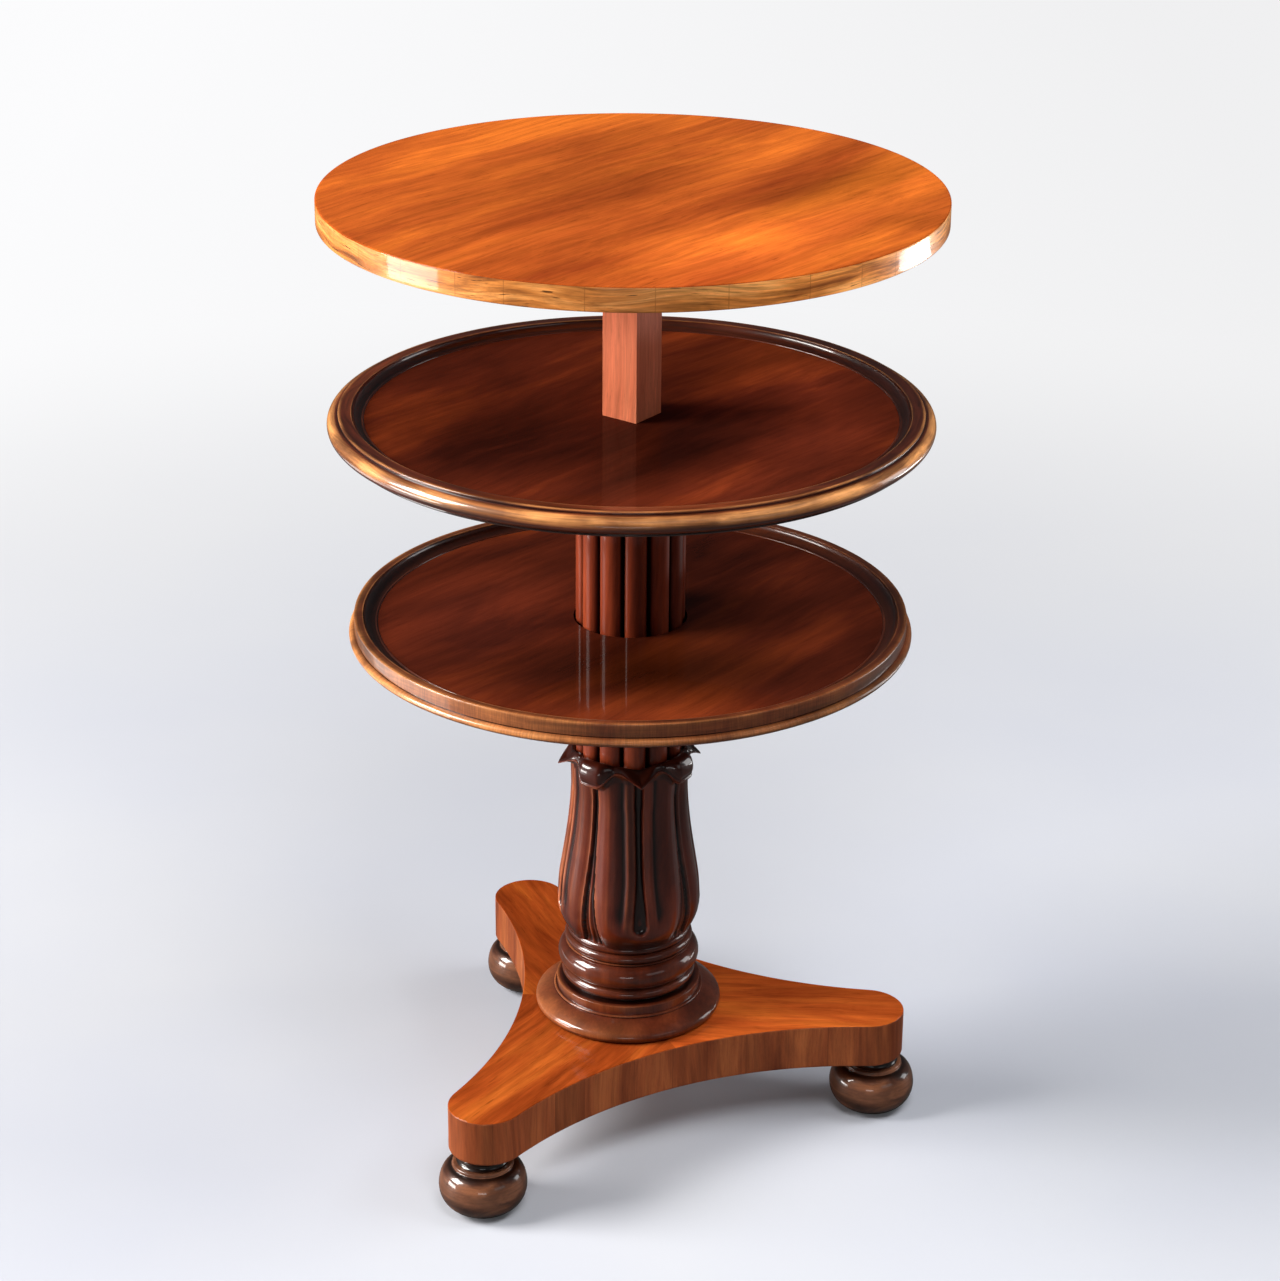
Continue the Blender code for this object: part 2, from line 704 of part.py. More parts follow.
def add_lower_tier(body):
    board_radius = LOWER_FLOOR_RADIUS - FIT
    hole = COLUMN_RADIUS + TIER_HOLE_GAP
    profile = [
        (hole, LOWER_BOARD_THICKNESS),
        (board_radius, LOWER_BOARD_THICKNESS),
        (board_radius, 0.0),
        (hole, 0.0),
    ]
    board = turned("lower_tier_board", profile, WIDE_SEGMENTS, ring=True)
    board.location.z = LOWER_UNDERSIDE
    finish_part(board, body, DARK_MAHOGANY)
    hub_radius = COLUMN_RADIUS + HUB_WIDTH
    circle = [polar(hub_radius, 2 * math.pi * i / TURNED_SEGMENTS) for i in range(TURNED_SEGMENTS)]
    hub = prism("lower_tier_hub", [circle, hub_bore_outline()], HUB_HEIGHT - FIT)
    hub.location.z = HUB_BOTTOM
    finish_part(hub, body, DARK_MAHOGANY)
    add_screw_ring(
        "hub_screw",
        body,
        hub_radius - (HUB_WIDTH - STOP_WIDTH) / 2,
        POST_TURN,
        HUB_BOTTOM,
        HUB_HEIGHT + SCREW_BITE,
        [hub, board],
    )
    add_lower_rim(body)


def add_lower_rim(body):
    thickness = LOWER_TIER_THICKNESS
    edge = LOWER_FLOOR_RADIUS + LOWER_COVE_WIDTH + LOWER_RING_WIDTH
    half_bead = LOWER_BEAD_HEIGHT / 2
    bead_centre = (edge, thickness - LOWER_BAND_HEIGHT - half_bead)
    profile = dished_inside(LOWER_FLOOR_RADIUS, LOWER_COVE_WIDTH, thickness)
    profile += [(edge, thickness)]
    profile += arc(bead_centre, [LOWER_BEAD_OVERHANG, half_bead], 90, -90)
    profile.append((edge, 0.0))
    rim = turned("lower_tier_rim", profile, WIDE_SEGMENTS, ring=True)
    rim.location.z = LOWER_UNDERSIDE
    finish_part(rim, body, EDGE_MAHOGANY)


def add_tier_stop(body, column):
    inner = COLUMN_RADIUS + FIT
    outer = inner + STOP_WIDTH
    profile = [(inner, STOP_HEIGHT), (outer, STOP_HEIGHT), (outer, 0.0), (inner, 0.0)]
    ring = turned("tier_stop_ring", profile, TURNED_SEGMENTS, ring=True)
    ring.location.z = STOP_TOP - STOP_HEIGHT
    finish_part(ring, body, DARK_MAHOGANY)
    pin_length = STOP_WIDTH + PIN_BITE
    for index in range(2):
        angle = POST_TURN + math.pi * index
        lay_down = (0.0, math.pi / 2, angle)
        x, y = polar(inner - PIN_BITE, angle)
        place = (x, y, STOP_TOP - STOP_HEIGHT / 2)
        pin = cylinder(f"stop_pin_{index + 1}", PIN_RADIUS, pin_length, SMALL_SEGMENTS)
        pin.location = place
        pin.rotation_euler = lay_down
        finish_part(pin, body, BRASS)
        hole_length = pin_length + 2 * OVERSHOOT
        hole = cylinder(f"pin_hole_{index + 1}", PIN_RADIUS + FIT, hole_length, SMALL_SEGMENTS)
        x, y = polar(inner - PIN_BITE - FIT, angle)
        hole.location = (x, y, place[2])
        hole.rotation_euler = lay_down
        make_helper(hole)
        cut(ring, hole)
        cut(column, hole)


def spring_path():
    """Centre line of a spring catch: flat in its slot, then out to the free end at z = 0."""
    flat_x = -SPRING_SLOT_DEPTH + FIT + SPRING_THICKNESS / 2
    bend = SPRING_LENGTH - SPRING_FLAT
    return [(flat_x, SPRING_LENGTH), (flat_x, bend), (SPRING_REACH, 0.0)]


def spring_strip(name):
    bm = bmesh.new()
    half = SPRING_WIDTH / 2
    sides = [[bm.verts.new((x, y, z)) for x, z in spring_path()] for y in (-half, half)]
    for i in range(len(sides[0]) - 1):
        bm.faces.new([sides[0][i], sides[0][i + 1], sides[1][i + 1], sides[1][i]])
    strip = mesh_object(name, bm)
    solidify = strip.modifiers.new("thickness", "SOLIDIFY")
    solidify.thickness = SPRING_THICKNESS
    solidify.offset = 0.0
    solidify.use_even_offset = True
    return strip


def catch_screw_profile():
    """A round-headed screw along +Z into the host, with the head's underside at z = 0."""
    return [
        (0.0, SCREW_BITE),
        (CATCH_SCREW_RADIUS, SCREW_BITE),
        (CATCH_SCREW_RADIUS, 0.0),
        (CATCH_HEAD_RADIUS, 0.0),
        (CATCH_HEAD_RADIUS, -CATCH_HEAD_HEIGHT / 2),
        (CATCH_SCREW_RADIUS, -CATCH_HEAD_HEIGHT),
        (0.0, -CATCH_HEAD_HEIGHT),
    ]


def add_catch(stem, body, host, place):
    """A leaf spring in its host's slot. The place puts x = 0 on the host's face, z = 0 at the free end."""
    slot_half = SPRING_WIDTH / 2 + SLIDE
    slot = box(
        stem + "_slot",
        (-SPRING_SLOT_DEPTH, -slot_half, -OVERSHOOT),
        (OVERSHOOT, slot_half, SPRING_LENGTH + OVERSHOOT),
    )
    slot.matrix_world = place
    cut(host, make_helper(slot))
    spring = spring_strip(stem + "_spring")
    spring.matrix_world = place
    finish_part(spring, body, BRASS)
    head_seat = -SPRING_SLOT_DEPTH + 2 * FIT + SPRING_THICKNESS
    inward = Matrix.Translation((head_seat, 0.0, SPRING_LENGTH - CATCH_SCREW_INSET))
    inward = place @ inward @ Matrix.Rotation(-math.pi / 2, 4, "Y")
    screw = turned(stem + "_screw", catch_screw_profile(), SMALL_SEGMENTS)
    screw.matrix_world = inward
    finish_part(screw, body, BRASS)
    hole_length = SCREW_BITE + FIT + OVERSHOOT
    hole = cylinder(stem + "_hole", CATCH_SCREW_RADIUS + FIT, hole_length, SMALL_SEGMENTS)
    hole.matrix_world = inward @ Matrix.Translation((0.0, 0.0, -OVERSHOOT))
    make_helper(hole)
    cut(spring, hole)
    cut(host, hole)


def add_tier_catch(body, column):
    """Holds the raised lower tier from below, on the side of the column that faces away."""
    angle = REED_TURN + math.pi
    x, y = polar(COLUMN_RADIUS, angle)
    free_end = HUB_BOTTOM + LOWER_TRAVEL - 2 * FIT
    place = Matrix.Translation((x, y, free_end)) @ Matrix.Rotation(angle, 4, "Z")
    add_catch("tier_catch", body, column, place @ Matrix.Rotation(math.pi, 4, "X"))


def add_top(body):
    mortise_roof = TOP_UNDERSIDE + POST_TENON
    board = cylinder(
        "top_board", TOP_RADIUS - BANDING_THICKNESS - FIT, TOP_THICKNESS, WIDE_SEGMENTS
    )
    board.location.z = TOP_UNDERSIDE
    finish_part(board, body, TOP_MAHOGANY)
    mortise_side = POST_SIDE + 2 * FIT
    cut(board, square_bore("top_mortise", mortise_side, TOP_UNDERSIDE - OVERSHOOT, mortise_roof))
    inner = TOP_RADIUS - BANDING_THICKNESS
    banding = turned(
        "top_banding",
        [
            (inner, TOP_THICKNESS),
            (TOP_RADIUS - ARRIS, TOP_THICKNESS),
            (TOP_RADIUS, TOP_THICKNESS - ARRIS),
            (TOP_RADIUS, ARRIS),
            (TOP_RADIUS - ARRIS, 0.0),
            (inner, 0.0),
        ],
        WIDE_SEGMENTS,
        ring=True,
    )
    banding.location.z = TOP_UNDERSIDE
    finish_part(banding, body, EDGE_MAHOGANY)
    flange_bottom = TOP_UNDERSIDE - FLANGE_THICKNESS
    flange = add_post_flange(body, flange_bottom, mortise_side)
    add_screw_ring(
        "post_flange_screw",
        body,
        POST_SIDE / 2 + POST_FLANGE_WIDTH / 2,
        POST_TURN,
        flange_bottom,
        FLANGE_THICKNESS + SCREW_BITE,
        [flange, board],
    )
    add_post(body, mortise_roof)


def add_post_flange(body, level, mortise_side):
    flange = cylinder(
        "post_flange", POST_SIDE / 2 + POST_FLANGE_WIDTH, FLANGE_THICKNESS - FIT, TURNED_SEGMENTS
    )
    flange.location.z = level
    finish_part(flange, body, DARK_MAHOGANY)
    cut(flange, square_bore("flange_post_hole", mortise_side, level - OVERSHOOT, TOP_UNDERSIDE))
    return flange


def add_post(body, mortise_roof):
    socket_floor = SHOE_BOTTOM + SHOE_FLOOR
    low = socket_floor + FIT
    post = prism("post", [square(POST_SIDE)], mortise_roof - FIT - low)
    post.location.z = low
    post.rotation_euler.z = POST_TURN
    finish_part(post, body, RAW_WOOD)
    shoe = prism("post_shoe", [square(BORE_SIDE - 2 * SLIDE)], SHOE_HEIGHT)
    shoe.location.z = SHOE_BOTTOM
    shoe.rotation_euler.z = POST_TURN
    finish_part(shoe, body, RAW_WOOD)
    cut(shoe, square_bore("shoe_socket", POST_SIDE + 2 * FIT, socket_floor, SHOE_TOP + OVERSHOOT))
    add_wood_screw(
        "shoe_screw", body, (0.0, 0.0, SHOE_BOTTOM), SHOE_FLOOR + 2 * SCREW_BITE, [shoe, post]
    )
    angle = POST_TURN + math.pi
    x, y = polar(POST_SIDE / 2, angle)
    place = Matrix.Translation((x, y, MIDDLE_FLOOR + 2 * FIT)) @ Matrix.Rotation(angle, 4, "Z")
    add_catch("post_catch", body, post, place)


clear_scene()
PARTS = add_collection("metamorphic_table", helper=False)
CUTTERS = add_collection("cutters", helper=True)
pedestal_body = add_body("pedestal_body")
top_body = add_body("top_body")
lower_tier_body = add_body("lower_tier_body")
add_feet(pedestal_body, add_platform(pedestal_body))
add_collar_ring(pedestal_body)
add_turned_socle(pedestal_body)
add_lotus_baluster(pedestal_body)
reeded_column = add_column(pedestal_body)
add_post_guide(pedestal_body)
add_middle_tier(pedestal_body)
add_tier_stop(pedestal_body, reeded_column)
add_tier_catch(pedestal_body, reeded_column)
add_top(top_body)
add_lower_tier(lower_tier_body)
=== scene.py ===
"""Looks of the three-tier metamorphic table: turned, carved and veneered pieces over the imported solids."""

import math

import bpy
import numpy as np
from mathutils import Matrix, Vector


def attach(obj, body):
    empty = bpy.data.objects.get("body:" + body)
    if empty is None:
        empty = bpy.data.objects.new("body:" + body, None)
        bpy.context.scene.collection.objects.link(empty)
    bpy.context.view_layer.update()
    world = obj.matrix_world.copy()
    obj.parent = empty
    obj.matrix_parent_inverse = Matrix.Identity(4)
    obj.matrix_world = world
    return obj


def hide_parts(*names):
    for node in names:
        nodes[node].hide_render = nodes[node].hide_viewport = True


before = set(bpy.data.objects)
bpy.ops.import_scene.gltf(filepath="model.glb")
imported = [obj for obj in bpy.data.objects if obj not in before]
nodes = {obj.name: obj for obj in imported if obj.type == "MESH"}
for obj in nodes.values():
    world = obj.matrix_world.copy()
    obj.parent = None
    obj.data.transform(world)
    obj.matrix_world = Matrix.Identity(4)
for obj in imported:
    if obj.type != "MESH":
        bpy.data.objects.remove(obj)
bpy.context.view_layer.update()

# Camera, fitted to the photograph's 1280 by 1281 frame
LENS = 88.99
CAMERA_PLACE = (0.0162, -2.714, 1.683)
CAMERA_DOWN = 23.692
CAMERA_LEFT = 0.1376
CAMERA_ROLL = 0.5

# Levels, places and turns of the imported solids
PLATFORM_LOW = 0.062
PLATFORM_TOP = 0.107
COLLAR_TOP = 0.1265
SOCLE_TOP = 0.194
LOWER_LOW = 0.504
LOWER_TOP = 0.526
MIDDLE_LOW = 0.703
MIDDLE_TOP = 0.725
TOP_LOW = 0.902
TOP_HIGH = 0.924
FOOT_ANGLES = (236.5, 356.5, 476.5)
FOOT_CIRCLE = 0.242
LOTUS_TURN = math.radians(-80.0)
REED_TURN = math.radians(-83.7)

# Direction of the grain on the flat boards
GRAIN_TURN = math.radians(50.0)

# Columns of points round a wide and a small turned piece
FINE_TURN = 240
SMALL_TURN = 120

# Distance in the grain between the platform's three veneers, so that their figures differ
VENEER_GAP = 1.7

# Faces that meet at more than this angle keep a sharp edge
CREASE = math.radians(38)


# Shapes

def arc(centre, radii, start, end, steps):
    """Points on an ellipse between two angles in degrees."""
    angles = np.radians(np.linspace(start, end, steps + 1))
    return [(centre[0] + radii[0] * math.cos(a), centre[1] + radii[1] * math.sin(a)) for a in angles]


def rounded(corners, steps=4):
    """A polyline whose corners, given as (x, z, radius), are eased by that radius."""
    points = []
    last = len(corners) - 1
    for i, (x, z, radius) in enumerate(corners):
        if radius == 0 or i in (0, last):
            points.append((x, z))
            continue
        here = np.array([x, z])
        back = np.array(corners[i - 1][:2]) - here
        ahead = np.array(corners[i + 1][:2]) - here
        reach = min(radius, 0.49 * np.linalg.norm(back), 0.49 * np.linalg.norm(ahead))
        start = here + back / np.linalg.norm(back) * reach
        end = here + ahead / np.linalg.norm(ahead) * reach
        for share in np.linspace(0, 1, steps + 1):
            point = (1 - share) ** 2 * start + 2 * share * (1 - share) * here + share**2 * end
            points.append(tuple(point))
    return points


def curve_through(points, count):
    """A smooth run of points through a few given ones."""
    points = np.array(points)
    padded = np.concatenate([2 * points[:1] - points[1:2], points, 2 * points[-1:] - points[-2:-1]])
    places = np.linspace(0, len(points) - 1, count)
    i = np.minimum(places.astype(int), len(points) - 2)
    t = (places - i)[:, None]
    a, b, c, d = padded[i], padded[i + 1], padded[i + 2], padded[i + 3]
    return 0.5 * (2 * b + (c - a) * t + (2 * a - 5 * b + 4 * c - d) * t**2 + (3 * b - a - 3 * c + d) * t**3)


def marked(points, wear_and_shade):
    """The points of an outline with a mark, one for all or a first and a last one: above 0 wear with painted
    light, below 0 painted shade.
    """
    start, end = wear_and_shade if isinstance(wear_and_shade, tuple) else (wear_and_shade, wear_and_shade)
    return [(x, z, r) for (x, z), r in zip(points, np.linspace(start, end, len(points)))]


def signed_area(outline):
    """Twice the area in a closed outline, above 0 where it runs anticlockwise."""
    x = outline[:, 0]
    z = outline[:, 1]
    return (x * np.roll(z, -1) - np.roll(x, -1) * z).sum()


def grid_object(name, points, grain, wear_and_shade, caps=False, closed_rows=False):
    """A mesh from rows of points round the axis. grain has one more column, and the mark of wear and painted
    shade one value a point.
    """
    rows, columns = points.shape[:2]
    index = np.arange(rows * columns).reshape(rows, columns)
    i, j = np.meshgrid(np.arange(rows if closed_rows else rows - 1), np.arange(columns), indexing="ij")
    i, j = i.ravel(), j.ravel()
    below = (i + 1) % rows
    after = (j + 1) % columns
    quads = np.stack([index[i, j], index[below, j], index[below, after], index[i, after]], 1)
    corners = np.stack([grain[i, j], grain[below, j], grain[below, j + 1], grain[i, j + 1]], 1)
    corners = corners.reshape(-1, 3)
    faces = quads.tolist()
    if caps:
        faces.append(list(index[0]))
        faces.append(list(index[-1][::-1]))
        corners = np.concatenate([corners, grain[0, :-1], grain[-1, :-1][::-1]])
    mesh = bpy.data.meshes.new(name)
    mesh.from_pydata(points.reshape(-1, 3).tolist(), [], faces)
    mesh.attributes.new("grain", "FLOAT_VECTOR", "CORNER").data.foreach_set("vector", corners.ravel())
    mesh.attributes.new("wear_and_shade", "FLOAT", "POINT").data.foreach_set("value", wear_and_shade.ravel())
    mesh.shade_smooth()
    mesh.set_sharp_from_angle(angle=CREASE)
    obj = bpy.data.objects.new(name, mesh)
    bpy.context.scene.collection.objects.link(obj)
    return obj


def turned(name, profile, segments, centre=(0.0, 0.0), along="turn"):
    """A lathe piece from a closed outline of (radius, level, mark of wear and painted shade)."""
    outline = np.array(profile)
    if signed_area(outline) > 0:
        outline = outline[::-1]
    angles = np.linspace(0, 2 * math.pi, segments + 1) + math.pi / 2
    radius = outline[:, :1]
    level = np.repeat(outline[:, 1:2], segments + 1, 1)
    x = radius * np.cos(angles)
    y = radius * np.sin(angles)
    points = np.stack([centre[0] + x, centre[1] + y, level], 2)[:, :-1]
    if along == "turn":
        length = np.repeat(angles[None] * outline[:, 0].max(), len(outline), 0)
        grain = np.stack([length, level, x * 0 + radius], 2)
    else:
        grain = np.stack([level, x, y], 2)
    wear_and_shade = np.repeat(outline[:, 2:], segments, 1)
    return grid_object(name, points, grain, wear_and_shade, closed_rows=True)


def plate(name, outlines, grains):
    """A closed plate from stacked outlines, top first, each an array of points with a level."""
    points = np.array(outlines)
    grain = np.array(grains)
    return grid_object(name, points, grain, np.zeros(points.shape[:2]), caps=True)


# Materials

def add(tree, kind, inputs=None, **settings):
    """A shader node with its settings made and its inputs set to values or linked to sockets."""
    node = tree.nodes.new("ShaderNode" + kind)
    for key, value in settings.items():
        setattr(node, key, value)
    for key, value in (inputs or {}).items():
        if isinstance(value, bpy.types.NodeSocket):
            tree.links.new(value, node.inputs[key])
        else:
            node.inputs[key].default_value = value
    return node


def math_node(tree, operation, a, b):
    return add(tree, "Math", {0: a, 1: b}, operation=operation).outputs[0]


def product(tree, a, b):
    return math_node(tree, "MULTIPLY", a, b)


def total(tree, a, b):
    return add(tree, "VectorMath", {0: a, 1: b}, operation="ADD").outputs[0]


def remap(tree, value, low, high, start, end):
    inputs = {"Value": value, "From Min": low, "From Max": high, "To Min": start, "To Max": end}
    return add(tree, "MapRange", inputs).outputs["Result"]


def mix(tree, factor, a, b, blend="MIX"):
    inputs = {0: factor, 6: a, 7: b}
    return add(tree, "Mix", inputs, data_type="RGBA", blend_type=blend).outputs[2]


def grey(tree, value):
    return add(tree, "CombineColor", {0: value, 1: value, 2: value}).outputs[0]


def object_place(tree):
    return add(tree, "TexCoord").outputs["Object"]


def axes_of(tree, vector):
    return add(tree, "SeparateXYZ", {0: vector}).outputs


# Each point's mark: above 0 wear with painted light, below 0 painted shade.
def wear_and_shade_of(tree):
    return add(tree, "Attribute", attribute_name="wear_and_shade").outputs["Fac"]


def noise(tree, place, scale, detail):
    return add(tree, "TexNoise", {"Vector": place, "Scale": scale, "Detail": detail}).outputs


def stretched(tree, place, scale, detail=3.0, roughness=0.55, distortion=0.0):
    """Noise whose features are longer along the grain than across it."""
    scaled = add(tree, "VectorMath", {0: place, 1: (scale[0], scale[1], scale[1])}, operation="MULTIPLY")
    inputs = {
        "Vector": scaled.outputs[0], "Scale": 1.0, "Detail": detail,
        "Roughness": roughness, "Distortion": distortion,
    }
    return add(tree, "TexNoise", inputs).outputs["Fac"]


def ramp(tree, value, stops):
    """Colours by value, from stops of (value, colour)."""
    node = add(tree, "ValToRGB", {"Fac": value})
    elements = node.color_ramp.elements
    for element, (place, colour) in zip(elements, (stops[0], stops[-1])):
        element.position = place
        element.color = (*colour, 1)
    for place, colour in stops[1:-1]:
        elements.new(place).color = (*colour, 1)
    return node.outputs["Color"]


def darker(colour, share):
    return (*[value * share for value in colour], 1)


def new_material(name):
    material = bpy.data.materials.new(name)
    material.use_nodes = True
    return material, material.node_tree, material.node_tree.nodes["Principled BSDF"]


def grain_place(tree, turn, upright, shift):
    """The place in the wood as the piece carries it, and again with x along the grain."""
    if turn is None and not upright:
        carried = add(tree, "Attribute", attribute_name="grain").outputs["Vector"]
    else:
        carried = object_place(tree)
    mapping = add(tree, "Mapping", {"Vector": carried, "Location": (shift, shift * 0.7, shift * 0.3)})
    if turn is not None:
        mapping.inputs["Rotation"].default_value = (0, 0, -turn)
    if upright:
        mapping.inputs["Rotation"].default_value = (0, math.pi / 2, 0)
    return carried, mapping.outputs[0]


def drift_of(tree, place):
    """A small drift, so that no line of the grain runs dead straight."""
    drift = noise(tree, place, 5.0, 2.0)["Color"]
    drift = add(tree, "VectorMath", {0: drift, 1: (0.5, 0.5, 0.5)}, operation="SUBTRACT").outputs[0]
    return add(tree, "VectorMath", {0: drift, "Scale": 0.03}, operation="SCALE").outputs[0]


def patch_shade(tree, place, patch):
    """Shade of a soft oval: x, y, length, width, turn in degrees, and how much darker (below 0, lighter)."""
    x, y, long, wide, turn, strength = patch
    inputs = {
        "Vector": place, "Location": (x, y, 0), "Rotation": (0, 0, math.radians(turn)),
        "Scale": (long, wide, 1000.0),
    }
    local = add(tree, "Mapping", inputs, vector_type="TEXTURE").outputs[0]
    oval = add(tree, "TexGradient", {"Vector": local}, gradient_type="SPHERICAL").outputs["Fac"]
    full = 0.8
    oval = math_node(tree, "SMOOTH_MIN", oval, full)
    return remap(tree, oval, 0.0, full, 1.0, 1 - strength)


def with_joints(tree, colour, along, line, joint, gap_colour):
    """Pieces of veneer that differ a little in tone, with fine joints between them."""
    inputs = {"W": along, "Scale": joint["scale"], "Randomness": 0.9}
    piece = add(tree, "TexVoronoi", inputs, voronoi_dimensions="1D").outputs["Color"]
    piece = add(tree, "SeparateColor", {0: piece}).outputs[0]
    tone = remap(tree, piece, 0.0, 1.0, 1 - joint["tone"], 1 + joint["tone"])
    colour = mix(tree, 1.0, colour, grey(tree, tone), "MULTIPLY")
    edge = add(tree, "TexVoronoi", inputs, voronoi_dimensions="1D", feature="DISTANCE_TO_EDGE")
    gap = remap(tree, edge.outputs["Distance"], 0.0, joint["width"] * joint["scale"], joint["depth"], 0.0)
    gap = product(tree, gap, remap(tree, line, 0.35, 0.6, 0.2, 1.0))
    return mix(tree, gap, colour, gap_colour)


def with_wear_and_light(tree, colour, shade, place, worn_and_lit, rubs, lean):
    """Raised parts paler, as wear and as painted light, in blotches that can differ between left and right.

    The paling is given by its colour, the mark where it starts and is full, and its strength. rubs has the
    blotches' scale, the noise where they start and are full, and the paling kept between them. lean has the
    distance left of the axis where the paling is full, and the share of it that is kept on the right:
    this difference between the sides is painted light.
    """
    pale, start, full, strength = worn_and_lit
    scale, low, high, least = rubs
    amount = remap(tree, wear_and_shade_of(tree), start, full, 0.0, strength)
    amount = product(tree, amount, remap(tree, noise(tree, place, scale, 4.0)["Fac"], low, high, least, 1.0))
    if lean:
        reach, share = lean
        across = axes_of(tree, object_place(tree))["X"]
        amount = product(tree, amount, remap(tree, across, -reach, 0.25 * reach, 1.0, share))
    return mix(tree, amount, colour, mix(tree, 1.0, (*pale, 1), shade, "MULTIPLY"))


def wood(
    name, dark, middle, light, turn=None, upright=False, shift=0.0, figure=(2.6, 10.0), streak=(6.0, 150.0),
    contrast=0.3, rough=0.25, coat=0.0, coat_rough=0.05, specular=0.4, worn_and_lit=None, lean=None,
    rubs=(26.0, 0.3, 0.65, 0.25), painted_shade=None, joint=None, patches=(), dashes=0.0, cross=0.0, bump=0.25,
):
    """Polished timber. turn gives the grain's direction on a flat piece, which otherwise carries its own.

    figure and streak are the fineness of the clouds and lines, along and across the grain. dashes and cross
    are the strength of short dark pores and of fine lines across the grain. The darkening of points marked
    below 0 is painted shade, in hollows, creases and undersides.
    """
    material, tree, shader = new_material(name)
    carried, place = grain_place(tree, turn, upright, shift)
    drift = drift_of(tree, place)
    place = total(tree, place, drift)
    cloud = stretched(tree, place, figure, 4.0, 0.55, 0.4)
    line = stretched(tree, place, streak, 4.0, 0.6)
    fibre = stretched(tree, place, (streak[0] * 6, streak[1] * 6), 2.0)
    pores = stretched(tree, place, (streak[0] * 9, streak[1] * 8), 1.0)
    shades = [
        remap(tree, line, 0.3, 0.7, 1 - contrast, 1 + contrast * 0.6),
        remap(tree, fibre, 0.3, 0.7, 0.9, 1.08),
        remap(tree, pores, 0.66, 0.74, 1.0, 0.72),
    ]
    if dashes:
        dash = stretched(tree, place, (45.0, 700.0), 2.0, 0.4)
        shades.append(remap(tree, dash, 0.66, 0.72, 1.0, 1 - dashes))
    if cross:
        weave = stretched(tree, carried, (900.0, 60.0), 3.0, 0.6)
        shades.append(remap(tree, weave, 0.3, 0.7, 1 - cross, 1 + cross))
    if patches:
        drifted = total(tree, carried, drift)
        shades += [patch_shade(tree, drifted, patch) for patch in patches]
    shade = shades[0]
    for factor in shades[1:]:
        shade = product(tree, shade, factor)
    shade = grey(tree, shade)
    colour = ramp(tree, cloud, [(0.32, dark), (0.5, middle), (0.68, light)])
    colour = mix(tree, 1.0, colour, shade, "MULTIPLY")
    if joint:
        along = axes_of(tree, carried)[joint["axis"]]
        colour = with_joints(tree, colour, along, line, joint, darker(dark, 0.25))
    # Raised parts paler: wear, and painted light that leans to one side.
    if worn_and_lit:
        colour = with_wear_and_light(tree, colour, shade, carried, worn_and_lit, rubs, lean)
    # Painted shade: points marked below 0, in hollows, creases and undersides, go towards near black.
    if painted_shade:
        amount = remap(tree, wear_and_shade_of(tree), 0.0, -0.7, 0.0, painted_shade)
        colour = mix(tree, amount, colour, darker(dark, 0.18))
    height = math_node(tree, "ADD", product(tree, line, 0.6), product(tree, fibre, 0.4))
    bumped = add(tree, "Bump", {"Height": height, "Strength": bump, "Distance": 0.0004})
    tree.links.new(colour, shader.inputs["Base Color"])
    tree.links.new(remap(tree, line, 0.3, 0.7, rough * 1.15, rough * 0.9), shader.inputs["Roughness"])
    tree.links.new(bumped.outputs[0], shader.inputs["Normal"])
    shader.inputs["Specular IOR Level"].default_value = specular
    shader.inputs["Coat Weight"].default_value = coat
    shader.inputs["Coat Roughness"].default_value = coat_rough
    return material


def metal(name, colour, rough):
    """Old metal with dark tarnish and fine scratches."""
    material, tree, shader = new_material(name)
    place = object_place(tree)
    tarnish = noise(tree, place, 180.0, 5.0)["Fac"]
    scratch = stretched(tree, place, (300.0, 4000.0), 2.0)
    tint = ramp(tree, tarnish, [(0.35, darker(colour, 0.45)[:3]), (0.6, colour)])
    tree.links.new(tint, shader.inputs["Base Color"])
    tree.links.new(remap(tree, scratch, 0.3, 0.7, rough * 0.8, rough * 1.3), shader.inputs["Roughness"])
    shader.inputs["Metallic"].default_value = 1.0
    return material


def dress(obj, material):
    obj.data.materials.clear()
    obj.data.materials.append(material)


def stand_in(obj, body, material, slot, *replaced):
    """Finishes a new piece: its material, the body that carries it and the solids that it stands for."""
    dress(obj, material)
    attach(obj, body)
    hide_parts(*replaced)


TOP_WOOD = wood(
    "top_veneer", (0.22, 0.036, 0.007), (0.36, 0.072, 0.011), (0.54, 0.124, 0.015), turn=GRAIN_TURN,
    shift=0.4, contrast=0.27, rough=0.34, coat=0.22, coat_rough=0.06, specular=0.0, dashes=0.3,
    # patches: soft ovals lighter or darker, partly the veneer's own figure and partly painted light and
    # shade.
    patches=[
        (0.005, 0.02, 0.13, 0.065, 50, 0.15), (-0.05, 0.05, 0.26, 0.11, 50, 0.2),
        (-0.02, 0.18, 0.11, 0.045, 40, 0.15),
        (0.18, 0.03, 0.18, 0.05, 55, 0.46), (0.24, 0.06, 0.10, 0.03, 60, 0.2),
        (0.245, -0.085, 0.05, 0.03, 30, 0.3),
        (0.09, -0.18, 0.22, 0.08, 58, -0.45), (-0.20, 0.135, 0.13, 0.055, 45, -0.12),
        (0.262, 0.04, 0.08, 0.025, 70, -0.1),
    ],
)
